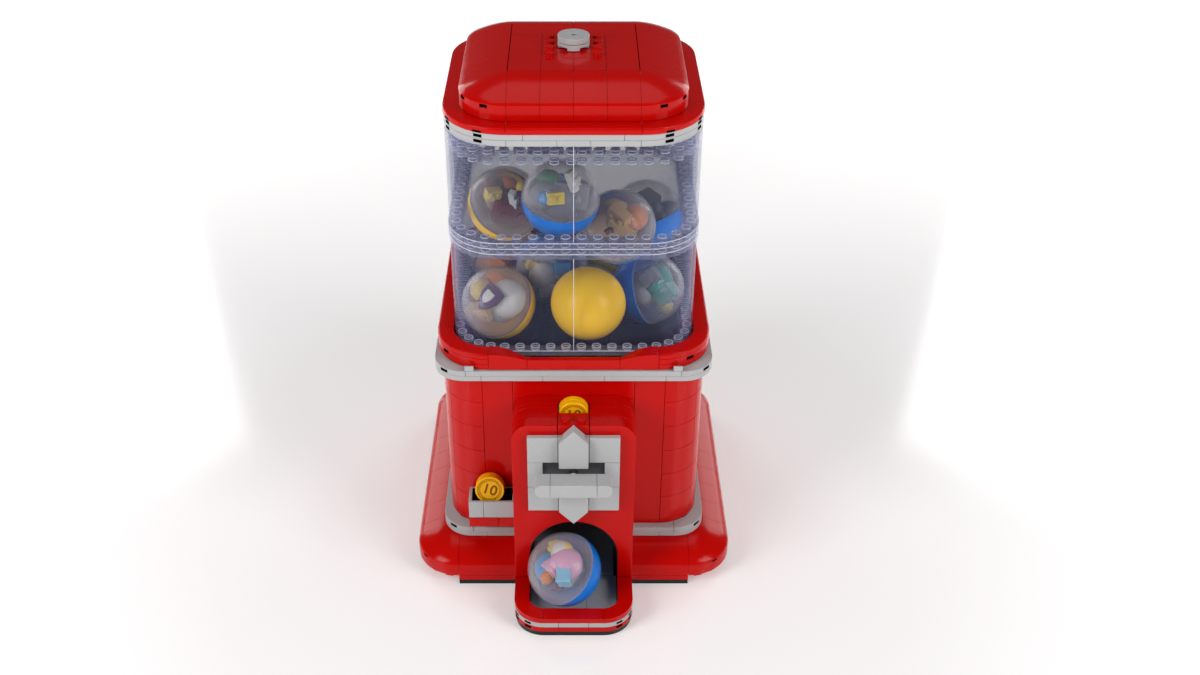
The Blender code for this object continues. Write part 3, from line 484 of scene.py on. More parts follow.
def build_walls():
    """Corner columns of curved bricks in courses, and tall smooth panels between them."""
    floor, top = low("right_wall").z, high("right_wall").z
    full, deep, flat = perimeter(BODY_HALF, BODY_CORNER), 4.0, BODY_HALF - BODY_CORNER
    bend = pi * BODY_CORNER / 2
    courses = [floor, *[z for z in range(32, int(top), 16)], top]
    names = (
        ("corner_front_right", ["corner_front_right"]),
        ("corner_rear_right", ["rear_wall"]),
        ("corner_rear_left", []),
        ("corner_front_left", ["corner_front_left"]),
    )
    for k, (name, nodes) in enumerate(names):
        kit = Kit()
        start = k * full / 4 + flat
        split = start + bend * (0.61 if k in (0, 2) else 0.39)
        for a, b in zip(courses, courses[1:]):
            profile = slab(deep, a + SEAM / 2, b - SEAM / 2)
            run(kit, BODY_HALF, BODY_CORNER, profile, start + SEAM, split - SEAM)
            run(kit, BODY_HALF, BODY_CORNER, profile, split + SEAM, start + bend - SEAM)
        piece(name + "_column", kit, RED, replaces=nodes)
    panel = slab(deep, floor, top)
    for k, node in ((1, "right_wall"), (2, None), (3, "left_wall")):
        kit = Kit()
        middle = k * full / 4
        for a, b in zip((-48, -32, 0, 32), (-32, 0, 32, 48)):
            run(kit, BODY_HALF, BODY_CORNER, panel, middle + a + SEAM, middle + b - SEAM)
        name = (node or "rear_middle") + "_panels"
        piece(name, kit, RED, replaces=[node] if node else ())
    kit = Kit()
    along = (BODY_FACE, BODY_FACE + deep)
    both_sides(kit, (POD_HALF + SEAM, flat - SEAM), along, (floor, top))
    middle, above = POD_HALF - SEAM, POD_TOP - 2
    box(kit, (-middle, BODY_FACE, above), (middle, BODY_FACE + deep, top))
    both_sides(kit, (3 * STUD + 0.5, middle), along, (floor, above - SEAM))
    piece("front_wall_panels", kit, RED, replaces=["front_wall"])


def build_collar():
    """The red collar: curved plates round the sides and back, and a low smooth tile in front."""
    bottom, top = low("rim_collar").z, high("rim_collar").z
    full = perimeter(COLLAR_HALF, COLLAR_CORNER)
    wide = COLLAR_HALF - WINDOW_HALF - 0.3
    levels = [bottom, bottom + PLATE, bottom + 2 * PLATE, top]
    flat = COLLAR_HALF - COLLAR_CORNER
    kit = Kit()
    for n, (a, b) in enumerate(zip(levels, levels[1:])):
        profile = slab(wide, a + SEAM / 2, b - SEAM / 2)
        if n == 2:
            profile = [(0.9, b), (0.25, b - 0.3), (0, b - 1.0), (0, a + SEAM / 2)]
            profile += [(wide, a + SEAM / 2), (wide, b)]
        seams = offsets(COLLAR_HALF, COLLAR_CORNER, *((3 * STUD, flat), (2 * STUD, flat), (flat, STUD))[n])
        course(kit, COLLAR_HALF, COLLAR_CORNER, profile, seams, flat, full - flat)
    tile, dip, middle = 44 * PLATE, 42.75 * PLATE, 3 * STUD
    y0, y1 = -COLLAR_HALF, -COLLAR_HALF + wide
    for side in (-1, 1):
        steps = 14
        for near, far, floor in ((y0, y0 + PLATE, tile), (y0 + PLATE, y1, dip)):
            rise = [
                (side * (middle + (flat - middle) * i / steps),
                 floor + (top - floor) * sin(pi / 2 * min(1, i / steps * 1.12)))
                for i in range(steps + 1)
            ]
            outline = [(side * (flat - SEAM), bottom), (side * (middle + SEAM), bottom), *rise]
            outline[-1] = (side * (flat - SEAM), top)
            prism(kit, outline, near, far, "Y")
    box(kit, (-middle + SEAM, y0, bottom), (middle - SEAM, y0 + PLATE, tile))
    box(kit, (-middle + SEAM, y0 + PLATE + SEAM, bottom), (middle - SEAM, y1, dip))
    piece("collar_bricks", kit, RED, replaces=["rim_collar"])
    # Painted shade in the corner plates' notches.
    dark = Kit()
    notches(dark, COLLAR_HALF, COLLAR_CORNER, bottom + PLATE + 0.4, bottom + PLATE + 2.0, (0.4,), 4.4)
    piece("collar_notch_shades", dark, SHADE_BLACK, bevel=0)


# ---------------------------------------------------------------- hopper


GLINT_STRIPS = Kit()  # painted highlights: the bright edges of all clear parts, which build_window makes one piece


def glint(x, y, z, radius=STUD_RADIUS + 0.05, tall=0.3):
    """Painted highlight: the bright edge of a clear stud or tube."""
    ring(GLINT_STRIPS, radius - 0.45, radius, z - tall, z, 18, (x, y, 0))


def clear_course(kit, half, corner, deep, lower, upper, studs=False):
    """A course of clear plates in two-stud lengths, with or without studs on top."""
    full = perimeter(half, corner)
    count = round(full / (2 * STUD))
    seams = [full * (i + 0.5) / count for i in range(count)]
    course(kit, half, corner, slab(deep, lower, upper), seams)
    if studs:
        count = round(full / STUD)
        for i in range(count):
            point, normal = station(half, corner, full * (i + 0.5) / count)
            place = point - normal * deep / 2
            stud(kit, place.x, place.y, upper)
            glint(place.x, place.y, upper + STUD_TALL + 0.02)
            glint(place.x, place.y, upper + 0.4)


def build_window():
    """Clear rings and panes, with studs on the rings and tubes under the top plates."""
    base, base_top = low("window_base_ring").z, high("window_base_ring").z
    mid, top = low("window_mid_ring").z, low("top_band").z
    kit = Kit()
    clear_course(kit, WINDOW_HALF, WINDOW_CORNER, 5.4, base, base_top, True)
    piece("window_base", kit, CRYSTAL, replaces=["window_base_ring"], bevel=0.15)
    kit = Kit()
    third = (high("window_mid_ring").z - mid) / 3
    for n in range(3):
        lower = mid + n * third
        foot, height = (lower + third, STUD_TALL) if n == 2 else (lower + 0.5, third - 0.4)
        clear_course(kit, BAND_HALF, WINDOW_CORNER + 0.6, 7.8, lower + 0.1, lower + third - 0.1)
        full = perimeter(BAND_HALF - 4, WINDOW_CORNER - 3.4)
        count = round(full / STUD)
        for i in range(count):
            point, _ = station(BAND_HALF - 4, WINDOW_CORNER - 3.4, full * (i + 0.5) / count)
            stud(kit, point.x, point.y, foot, STUD_RADIUS, height)
            glint(point.x, point.y, foot + height + 0.02)
    piece("window_middle", kit, CRYSTAL, replaces=["window_mid_ring"], bevel=0.15)
    kit = Kit()
    inner = WINDOW_HALF - 2.1
    for n in range(2):
        upper = top - 0.5 - n * (PLATE + 2.2)
        clear_course(kit, inner, WINDOW_CORNER - 2.1, 6.5, upper - PLATE, upper)
        full = perimeter(inner - 3.2, WINDOW_CORNER - 5.3)
        for i in range(round(full / STUD)):
            point, _ = station(inner - 3.2, WINDOW_CORNER - 5.3, STUD * (i + 0.5))
            ring(kit, 0, STUD_RADIUS, -2.1, 0, 14, (point.x, point.y, upper - PLATE - 0.05))
            glint(point.x, point.y, upper - PLATE - 1.8)
            glint(point.x, point.y, upper - PLATE - 0.1)
    piece("window_top_plates", kit, CRYSTAL, bevel=0.15)
    # Painted highlights: thin bright strips along the top edges of the clear rings and plates.
    for side_half, corner, z in (
        (WINDOW_HALF, WINDOW_CORNER, base_top),
        *((BAND_HALF, WINDOW_CORNER + 0.6, mid + n * third) for n in (1, 2, 3)),
        (inner, WINDOW_CORNER - 2.1, top - 0.5),
        (inner - 6.35, WINDOW_CORNER - 8.5, top - 0.5 - PLATE),
    ):
        side_half -= 0.05
        run(GLINT_STRIPS, side_half, corner, slab(0.35, z - 0.35, z + 0.03), 0, perimeter(side_half, corner), 10)
    # Painted highlight: a bright strip down the joint between the two front panes.
    for tier in ("lower", "upper"):
        node = f"{tier}_panel_front_right"
        box(GLINT_STRIPS, (-0.14, -WINDOW_HALF, low(node).z), (0.14, -WINDOW_HALF + 1.2, high(node).z))
    piece("window_painted_highlights", GLINT_STRIPS, GLINT, bevel=0)
    for tier in ("lower", "upper"):
        for n, side in enumerate(("front_right", "rear_right", "rear_left", "front_left")):
            node = f"{tier}_panel_{side}"
            kit = Kit()
            quarter = perimeter(WINDOW_HALF, WINDOW_CORNER) / 4
            profile = slab(1.6, low(node).z, high(node).z)
            run(kit, WINDOW_HALF, WINDOW_CORNER, profile, n * quarter + 0.15, (n + 1) * quarter - 0.15, 16)
            # The rear panes take the painted-shade copy of the clear panel.
            material = SHADED_PANEL if "rear" in side else PANEL
            piece(f"{tier}_pane_{side}", kit, material, replaces=[node], bevel=0.3)
    build_sill()


def build_sill():
    """The black frame round the hopper's floor, and the low black wall behind the window in front."""
    bottom, top = low("hopper_sill").z, high("hopper_sill").z
    half = high("hopper_sill").x
    kit = Kit()
    seams = offsets(half, WINDOW_CORNER, 0.001, 2 * STUD, 4 * STUD)
    course(kit, half, WINDOW_CORNER, slab(half - 7 * STUD, bottom, top), seams)
    piece("hopper_sill_plates", kit, BLACK, replaces=["hopper_sill"])
    dashes = Kit()
    inner = half - 7 * STUD
    for x in (-3 * STUD, -STUD, STUD, 3 * STUD):
        box(dashes, (x - 1.6, -inner - 5.2, top + 0.05), (x + 1.6, -inner - 4.5, top + 0.3))
    piece("hopper_sill_marks", dashes, TOYS["white"], bevel=0)


def build_band():
    bottom, top = low("top_band").z, high("top_band").z
    middle = (bottom + top) / 2
    kit = Kit()
    flat = BAND_HALF - BAND_CORNER
    lower = offsets(BAND_HALF, BAND_CORNER, STUD, flat)
    upper = offsets(BAND_HALF, BAND_CORNER, 3 * STUD)
    course(kit, BAND_HALF, BAND_CORNER, slab(STUD - 0.2, bottom, middle - SEAM / 2), lower)
    course(kit, BAND_HALF, BAND_CORNER, slab(STUD - 0.2, middle + SEAM / 2, top), upper)
    piece("band_plates", kit, GREY, replaces=["top_band"])
    # Painted shade in the corner plates' notches.
    dark = Kit()
    for z in (bottom + 0.9, middle + 0.7):
        notches(dark, BAND_HALF, BAND_CORNER, z, z + 1.5, (0.28, 0.72), 4.4)
    piece("band_notch_shades", dark, SHADE_BLACK, bevel=0)


# ---------------------------------------------------------------- lid


def build_lid():
    bottom, top = low("lid_dome").z - 0.3 - PLATE, high("lid_plate").z
    flat = LID_HALF - BAND_CORNER
    kit = Kit()
    profile = [(0, bottom), (0, top - 0.5), (0.15, top - 0.15), (0.5, top), (12, top), (12, bottom)]
    course(kit, LID_HALF, BAND_CORNER, profile, offsets(LID_HALF, BAND_CORNER, flat))
    lip = [(9.0, bottom - 0.3), (12, bottom - 0.3), (12, low("lid_plate").z), (9.0, low("lid_plate").z)]
    run(kit, LID_HALF, BAND_CORNER, lip, 0, perimeter(LID_HALF, BAND_CORNER))
    piece("lid_rim", kit, RED, "lid", ["lid_plate"])
    # Painted shade in the corner bricks' notches.
    dark = Kit()
    notches(dark, LID_HALF, BAND_CORNER, bottom + 0.1, bottom + 1.2, (0.28, 0.72), 4.4)
    piece("lid_rim_notch_shades", dark, SHADE_BLACK, "lid", bevel=0)
    build_dome()
    build_knob()


def build_dome():
    """Curved slopes with open seams round a flat studded top."""
    foot = low("lid_dome").z
    top, ridge = 88.25 * PLATE, 85.875 * PLATE
    reach = DOME_HALF - DOME_CORNER  # the slopes run in as far as the corners' centres
    run_in = DOME_CORNER - 0.35
    steps = 9
    slope = [
        (0.35 + (run_in - 0.35) * i / steps, ridge + (top - ridge) * (1 - (1 - i / steps) ** 1.5))
        for i in range(steps + 1)
    ]
    profile = [(0, foot), (0, ridge - 0.5), *slope, (run_in, top - 2), (4, ridge - 2), (4, foot)]
    kit = Kit()
    seams = set(offsets(DOME_HALF, DOME_CORNER, 0.0, 2 * STUD, reach))
    side_length = perimeter(DOME_HALF, DOME_CORNER) / 4
    for k in (1, 3):
        seams |= {round(k * side_length + STUD * n, 4) for n in (-3, -1, 1, 3)}
    course(kit, DOME_HALF, DOME_CORNER, profile, sorted(seams))
    half = 2 * STUD
    quarters, halves = (-reach, -half, 0, half, reach), (-reach, 0, reach)
    for stops, y0, y1 in ((quarters, -reach, -half), (halves, half, reach), (quarters, -half, half)):
        for x0, x1 in zip(stops, stops[1:]):
            box(kit, (x0 + SEAM, y0 + SEAM, top - 2), (x1 - SEAM, y1 - SEAM, top))
    for side in (-1, 1):
        for n in range(4):
            stud(kit, side * 1.5 * STUD, (n - 1.5) * STUD, top)
    piece("dome_bricks", kit, RED, "lid", ["lid_dome"])
    # Painted shade: a near-black lining inside the dome that shows through its open seams.
    kit = Kit()
    box(kit, (-reach - 1, -reach - 1, top - 4), (reach + 1, reach + 1, top - 0.5))
    under = [(x + 0.4, z - 0.5) for x, z in slope] + [(run_in + 1, top - 4), (5, ridge - 5)]
    run(kit, DOME_HALF, DOME_CORNER, under, 0, 4 * side_length)
    run(kit, DOME_HALF, DOME_CORNER, slab(5.2, foot + 0.1, ridge - 2.1, 0.5), 0, 4 * side_length)
    piece("dome_seam_shade", kit, SHADE_BLACK, "lid", bevel=0)
    # Painted shade in the corner slopes' notches.
    dark = Kit()
    notches(dark, DOME_HALF, DOME_CORNER, ridge - 2.3, ridge - 0.7, (0.3, 0.7), 4.0)
    piece("dome_notch_shades", dark, SHADE_BLACK, "lid", bevel=0)


def build_knob():
    """Two round plates: open notches round the lower one's underside, a small hole in the upper one."""
    foot, top = low("lid_knob").z, high("lid_knob").z
    middle, cut, gap = (foot + top) / 2, foot + 1.3, 0.12
    hole, deep = 1.5, 1.2
    kit = Kit()
    ring(kit, 0, STUD, cut, middle - gap, 40)
    disc = [(0, middle + gap), (STUD, middle + gap), (STUD, top)]
    disc += [(hole, top), (hole, top - deep), (0, top - deep)]
    turned(kit, disc, 40)
    for quarter in range(4):
        centre = pi / 2 + quarter * pi / 2
        outer = arc((0, 0), STUD, centre - 0.42, centre + 0.42, 6)
        inner = arc((0, 0), STUD - 3.4, centre + 0.6, centre - 0.6, 4)
        prism(kit, outer + inner, foot, cut + 0.2)
    piece("knob_discs", kit, GREY, "lid", ["lid_knob"], bevel=0.3)
    dark = Kit()
    ring(dark, 0, hole - 0.02, top - deep, top - deep + 0.2, 24)
    ring(dark, 0, 4.8, foot, cut, 24)
    ring(dark, 0, 7.5, middle - gap, middle + gap, 32)
    piece("knob_shadow", dark, SHADE_BLACK, "lid", bevel=0)


# ---------------------------------------------------------------- dispenser


def build_pod():
    """The dispenser housing: a one-piece face with an arched mouth, and one-stud slices behind it."""
    corner, inner = 1.25 * STUD, POD_HALF - RAIL
    arch_z = low("arrow_lower").z - 27.9
    seat = low("coin_slot_block").z - 0.3
    rear = high("dispenser_housing").y
    slot_rear = high("coin_in_slot").y + 0.5
    edge = high("coin_slot_block").x + 0.3
    shoulder = arc((POD_HALF - corner, POD_TOP - corner), corner, 0, pi / 2, 10)
    bore = 4.4
    keyway = [(bore, seat), *arc((0, DIAL_Z), bore, 0, -3 * pi / 8, 3)]
    mouth = [(inner, POD_LOW), *arc((0, arch_z), inner, 0, pi / 2, 14)[:-1]]
    right = [*mouth[::-1], (POD_HALF, POD_LOW), *shoulder, (edge, POD_TOP), (edge, seat), *keyway]
    top_of_arch, bottom_of_bore = (0, arch_z + inner), (0, DIAL_Z - bore)
    outline = [top_of_arch, *right, bottom_of_bore, *[(-x, z) for x, z in reversed(right)]]
    kit = Kit()
    prism(kit, outline, POD_FRONT, POD_FRONT + STUD - SEAM, "Y")
    slices = [POD_FRONT + STUD, POD_FRONT + 2 * STUD, slot_rear, rear]
    spring = POD_TOP - 2 * STUD
    for front, back in zip(slices, slices[1:]):
        cap = [(inner, spring), (POD_HALF, spring), *shoulder]
        web = POD_TOP - STUD
        if back <= slot_rear + 0.01:
            half = [*cap, (edge, POD_TOP), (edge, web), (inner, web)]
            prism(kit, half, front + SEAM, back - SEAM, "Y")
            prism(kit, [(-x, z) for x, z in half], front + SEAM, back - SEAM, "Y")
        else:
            prism(kit, mirrored([(inner, web), *cap][::1]), front + SEAM, back - SEAM, "Y")
    rows = [POD_LOW, 25.6, 41.6, 56.5, 78.5, spring]
    mouth_front, mouth_rear = low("coin_guide").y, high("coin_guide").y
    for side in (-1, 1):
        near, far = sorted((side * inner, side * POD_HALF))
        for n, (a, b) in enumerate(zip(rows, rows[1:])):
            spans = [(POD_FRONT + STUD + SEAM, rear)]
            if side < 0 and n == 3:
                spans = [(POD_FRONT + STUD + SEAM, mouth_front), (mouth_rear, rear)]
            for front, back in spans:
                box(kit, (near, front, a + SEAM), (far, back, b - SEAM))
    piece("dispenser_face_and_sides", kit, RED, replaces=["dispenser_housing"])
    # Painted shade: thin black sheets over the mouth's inner walls and arch.
    dark = Kit()
    depth = 0.6
    both_sides(dark, (inner - depth, inner + 0.02), (POD_FRONT + 0.8, rear), (POD_LOW, arch_z))
    arched = arc((0, arch_z), inner + 0.02, 0, pi, 28)
    hollow = arc((0, arch_z), inner - depth, pi, 0, 28)
    prism(dark, [*arched, *hollow], POD_FRONT + 0.8, POD_FRONT + STUD, "Y")
    piece("mouth_painted_shade", dark, BLACK, bevel=0)


def build_coin_block():
    node_low, node_high = low("coin_slot_block"), high("coin_slot_block")
    kit, dark = Kit(), Kit()
    box(kit, node_low, (node_high.x, node_high.y, POD_TOP))
    for x in (-0.5, 0.5):
        hole = (x * STUD, POD_FRONT, node_low.z + 3.7)
        stud(kit, x * STUD, POD_FRONT + STUD / 2, POD_TOP)
        ring(kit, 2.45, 3.1, -0.2, 0.25, 24, hole, (0, -1, 0))
        ring(dark, 0, 2.45, -0.2, 0.06, 24, hole, (0, -1, 0))
    piece("slot_brick", kit, RED, replaces=["coin_slot_block"])
    rear = high("coin_in_slot").y + 0.4
    box(dark, (-8.1, node_high.y + 0.1, POD_TOP - STUD + 1), (8.1, rear, POD_TOP - 3))
    piece("slot_shadow", dark, SHADE_BLACK, bevel=0)


def tray_course(kit, lower, upper, inset, joints):
    """One layer of the tray's rim: a left part, the front bricks between the joints, and a right part."""
    rear, front = BODY_FACE - 0.9, TRAY_FRONT + inset
    inner, outer = POD_HALF - RAIL, POD_HALF - inset
    corner = TRAY_CORNER - inset
    end = joints[-1]
    bend = arc((outer - corner, front + corner), corner, -pi / 2, 0, 14)
    small = TRAY_CORNER - RAIL
    back = arc((inner - small, TRAY_FRONT + RAIL + small), small, 0, -pi / 2, 8)
    outline = [(end + SEAM, front), *bend, (outer, rear), (inner, rear), *back]
    outline.append((end + SEAM, TRAY_FRONT + RAIL))
    prism(kit, outline, lower, upper)
    prism(kit, [(-x, y) for x, y in outline], lower, upper)
    for a, b in zip(joints, joints[1:]):
        box(kit, (a + SEAM, front, lower), (b - SEAM, TRAY_FRONT + RAIL, upper))


# Painted shade: dark sheets in the notches of the tray's rounded corners.
def tray_notch_shades(kit, lower, upper):
    centre = (POD_HALF - TRAY_CORNER, TRAY_FRONT + TRAY_CORNER)
    for side in (-1, 1):
        for share in (0.36, 0.72):
            angle = -pi / 2 + share * pi / 2
            spread = 0.12
            near = arc(centre, TRAY_CORNER + 0.1, angle - spread, angle + spread, 4)
            far = arc(centre, TRAY_CORNER - 1.5, angle + spread, angle - spread, 4)
            prism(kit, [(side * x, y) for x, y in near + far], lower, upper)


def build_tray():
    levels = [PLATE, 2 * PLATE, 3 * PLATE, 4 * PLATE]
    kit = Kit()
    tray_course(kit, levels[0] + 0.3, levels[1] - SEAM, 0.0, (-STUD, STUD))
    tray_course(kit, levels[2] + SEAM, levels[3], 0.0, (-2 * STUD, 2 * STUD))
    piece("tray_rim_bricks", kit, RED, replaces=["tray_body"])
    kit = Kit()
    tray_course(kit, levels[1] + SEAM, levels[2] - SEAM, 0.0, (-STUD, STUD))
    piece("tray_grey_course", kit, GREY, replaces=["tray_trim"])
    # Painted shade in the tray corners' notches.
    dark = Kit()
    tray_notch_shades(dark, levels[0] + 1.2, levels[0] + 2.7)
    tray_notch_shades(dark, levels[1] + 1.0, levels[1] + 2.3)
    piece("tray_notch_shades", dark, SHADE_BLACK, bevel=0)
    # Painted shade: thin black sheets over the inner faces of the tray's side rails.
    rail_shade = Kit()
    inner, small, depth = POD_HALF - RAIL, TRAY_CORNER - RAIL, 0.5
    along = (TRAY_FRONT + RAIL + small, BODY_FACE - 0.9)
    both_sides(rail_shade, (inner - depth, inner + 0.02), along, (levels[0] + 0.4, levels[3] - 0.4))
    piece("tray_rail_painted_shade", rail_shade, BLACK, bevel=0)


def build_chute():
    """The tray's floor in two plates, and the ramp behind it with its side walls."""
    node_low, node_high = low("capsule_chute"), high("capsule_chute")
    half, floor, thick, split = node_high.x, 6.6, 2.0, 7.0
    corner = TRAY_CORNER - RAIL - 0.3
    kit = Kit()
    bend = arc((half - corner, TRAY_FRONT + TRAY_CORNER), corner, -pi / 2, 0, 8)
    for sign in (-1, 1):
        edge, rear = split + sign * SEAM, POD_FRONT + 8
        nose = [(sign * x, y) for x, y in [(half - corner, node_low.y), *bend[1:], (half, rear)]]
        prism(kit, [(edge, node_low.y), *nose, (edge, rear)], floor - thick, floor)
    front, rear = (-7 * STUD, floor + 9.4), (7.4 * STUD, floor + 39.4)
    ramp = [(POD_FRONT + 8.2, floor + 1.6), front, rear]
    prism(kit, ramp + [(y, z - thick) for y, z in reversed(ramp)], -half, half, "X")
    piece("chute_floor", kit, GREY, replaces=["capsule_chute"])
    kit = Kit()
    tall = 26.0
    wall = [(POD_FRONT + RAIL, floor), (front[0], front[1] - 1), (rear[0], rear[1] - 1)]
    wall += [(rear[0], rear[1] + tall - 8), (front[0], front[1] + tall), (POD_FRONT + RAIL, floor + tall)]
    for side in (-1, 1):
        near, far = sorted((side * half, side * (half - 1.6)))
        prism(kit, wall, near, far, "X")
    box(kit, (-half, rear[0] - 2, rear[1] - 1), (half, rear[0], rear[1] + 24))
    piece("chute_sides", kit, BLACK)


# ---------------------------------------------------------------- dial


def build_dial():
    face, back = low("dial_plate").y, high("dial_plate").y
    half, row, step = 3 * STUD, 2 * STUD, 0.1
    kit = Kit()
    for n in (-1, 0, 1):
        z0, z1 = DIAL_Z + (n - 0.5) * row + step, DIAL_Z + (n + 0.5) * row - step
        near = STUD if n else row
        spans = [(-half, -near), (near, half)] + ([(-near, near)] if n else [])
        for a, b in spans:
            box(kit, (a + step, face, z0), (b - step, back, z1))
    piece("dial_tiles", kit, GREY, replaces=["dial_plate"])
    kit = Kit()
    node_low, node_high = low("dial_backing"), high("dial_backing")
    box(kit, node_low, node_high)
    piece("dial_recess", kit, DARK, replaces=["dial_backing"])
    wide, tip = high("arrow_upper").x, STUD
    for node, sign in (("arrow_upper", 1), ("arrow_lower", -1)):
        ends = (low(node).z, high(node).z)
        foot, point = ends if sign > 0 else ends[::-1]
        shoulder = point - sign * tip
        kit = Kit()
        outline = [(-wide, foot), (wide, foot), (wide, shoulder), (0, point), (-wide, shoulder)]
        prism(kit, outline, low(node).y, face - 0.3, "Y")
        edge = DIAL_Z + sign * (half + 0.3)
        if sign * (shoulder - edge) < 0:
            spread = sign * (point - edge) * wide / tip
            cap = [(-spread, edge), (spread, edge), (0, point)]
            prism(kit, cap, face - 0.35, back, "Y")
        piece(node + "_tile", kit, GREY, replaces=[node], bevel=0.3)
    build_handle()


def build_handle():
    """The bar that the user turns, in three bricks with rounded ends, on a round boss."""
    node_low, node_high = low("dial_handle"), high("dial_handle")
    front, bar_rear, boss_rear = node_low.y, node_low.y + 10.0, node_high.y
    span, tall, split, bend = node_high.x, STUD / 2, 12.0, 3.4
    kit = Kit()
    end = [(split + SEAM, DIAL_Z - tall)]
    end += arc((span - bend, DIAL_Z - tall + bend), bend, -pi / 2, 0, 8)
    end += arc((span - bend, DIAL_Z + tall - bend), bend, 0, pi / 2, 8)
    end += [(split + SEAM, DIAL_Z + tall)]
    prism(kit, end, front, bar_rear, "Y")
    prism(kit, [(-x, z) for x, z in end], front, bar_rear, "Y")
    box(kit, (-split + SEAM, front, DIAL_Z - tall), (split - SEAM, bar_rear, DIAL_Z + tall))
    boss, behind = 4.0, bar_rear - boss_rear
    profile = [(0, -0.1), (3.4, -0.1), (boss, -0.7), (boss, behind), (0, behind)]
    turned(kit, profile, 28, (0, bar_rear, DIAL_Z), (0, -1, 0))
    piece("handle_bar", kit, GREY, "dial", ["dial_handle"], bevel=0.5, segments=3)
    kit = Kit()
    length = high("dial_axle").y - low("dial_axle").y - 6
    blade, arm = 0.9, 2.35
    cross = [(arm, blade), (blade, blade), (blade, arm), (-blade, arm), (-blade, blade), (-arm, blade)]
    cross += [(-x, -y) for x, y in cross]
    prism(kit, [(x, z + DIAL_Z) for x, z in cross], high("dial_axle").y - length, high("dial_axle").y, "Y")
    piece("cross_axle", kit, DARK, "dial", ["dial_axle"], bevel=0.2)


# ---------------------------------------------------------------- coins


def build_coin(name, node, centre, lean, roll):
    """A coin with a raised rim, a ring of marks and a raised number, riding on the body of its own name."""
    direction = Vector(lean).normalized()
    half, radius = 3.2, 7.9
    kit = Kit()
    round_off = 0.3
    profile = [(0, -half), (radius - round_off, -half), (radius, -half + round_off)]
    profile += [(radius, -0.25), (radius - 0.25, -0.1), (radius - 0.25, 0.1), (radius, 0.25)]
    profile += [(radius, half - round_off), (radius - round_off, half)]
    profile += [(radius - 1.1, half), (radius - 1.3, half - round_off), (0, half - round_off)]
    turned(kit, profile, 48, centre, direction)
    piece(name, kit, GOLD, name, [node], bevel=0)
    marks = Kit()
    up = (Vector((0, 0, 1)) - direction * direction.z).normalized()
    side = up.cross(direction).normalized()
    face = Vector(centre) + direction * (half - round_off)
    for inner, outer in ((5.3, 5.55), (6.35, 6.5)):
        ring(marks, inner, outer, 0, 0.08, 40, face, direction)
    for i in range(30):
        angle = 2 * pi * i / 30
        out = side * cos(angle) + up * sin(angle)
        along = out.cross(direction)
        base = face + out * 5.95
        corners = [base + out * a * 0.26 + along * b * 0.2 for a, b in ((1, 1), (1, -1), (-1, -1), (-1, 1))]
        points = corners + [c + direction * 0.08 for c in corners]
        sides = [[j, (j + 1) % 4, 4 + (j + 1) % 4, 4 + j] for j in range(4)]
        marks.add(points, [[3, 2, 1, 0], [4, 5, 6, 7], *sides])
    piece(name + "_marks", marks, PRINT, name, bevel=0)
    text = bpy.data.curves.new(name + "_number", "FONT")
    text.body = "10"
    text.align_x, text.align_y = "CENTER", "CENTER"
    text.size = 8.2 * MM
    text.extrude = 0.12 * MM
    text.offset = 0.12 * MM
    text.materials.append(PRINT)
    number = bpy.data.objects.new(name + "_number", text)
    bpy.context.scene.collection.objects.link(number)
    turn = Matrix.Rotation(roll, 3, direction)
    basis = Matrix((turn @ side, turn @ up, direction)).transposed().to_4x4()
    number.matrix_world = Matrix.Translation(face * MM) @ basis
    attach(number, name)


def build_coins():
    for name, node, lean, roll in (
        ("slot_coin", "coin_in_slot", (0, -1, 0), 0),
        ("tray_coin", "coin_in_tray", (0, -0.966, 0.259), radians(-16)),
    ):
        build_coin(name, node, (low(node) + high(node)) / 2, lean, roll)


def build_coin_tray():
    """The grey cup in front of the body, its black floor with painted shade on the inner faces of its front
    and rear walls, and the red shelf under it.
    """
    left, front, bottom = low("coin_tray")
    right, rear, top = high("coin_tray")
    wall, floor = 1.6, 50.7
    inner, back, split = left + wall, rear - 0.9, left + STUD
    kit = Kit()
    for x0, x1 in ((left, split), (split, right)):
        box(kit, (x0 + SEAM, front, bottom), (x1 - SEAM, front + wall, top))
    box(kit, (left, front + wall + SEAM, bottom), (inner, rear, top))
    box(kit, (inner, rear - 0.8, bottom), (right, rear, top))
    box(kit, (right - 1.0, front + wall + SEAM, bottom), (right, back, top))
    piece("coin_cup", kit, GREY, replaces=["coin_tray"])
    kit = Kit()
    box(kit, (inner, front + wall, bottom + 0.2), (right - 1.1, back, floor))
    # Painted shade: thin black sheets over the inner faces of the cup's front and rear walls.
    for y in (front + wall, back):
        box(kit, (inner, y, floor), (right - 1.1, y + 0.25, top - 0.5))
    piece("coin_cup_floor_and_wall_shade", kit, BLACK, bevel=0)
    kit = Kit()
    shelf_low, shelf_high = low("coin_shelf"), high("coin_shelf")
    box(kit, shelf_low, (split + STUD, shelf_high.y, shelf_high.z))
    box(kit, (split + STUD + 2 * SEAM, shelf_low.y, shelf_low.z), shelf_high)
    piece("coin_shelf_bricks", kit, RED, replaces=["coin_shelf"])


# ---------------------------------------------------------------- capsules and their toys

VIEW_POINT = Vector((0, -652.9, 532.0))
VIEW_PITCH = radians(33)
ACROSS = Vector((1, 0, 0))


def half_shell(kit, radius, wall, centre, direction):
    """A hemispherical shell, open at its middle plane."""
    start, steps = asin(0.12 / radius), 12
    angles = [start + (pi / 2 - start) * i / steps for i in range(steps)]
    outer, inner = ([(r * cos(a), r * sin(a)) for a in angles] + [(0.0, r)] for r in (radius, radius - wall))
    turned(kit, outer + inner[::-1], 56, centre, direction)


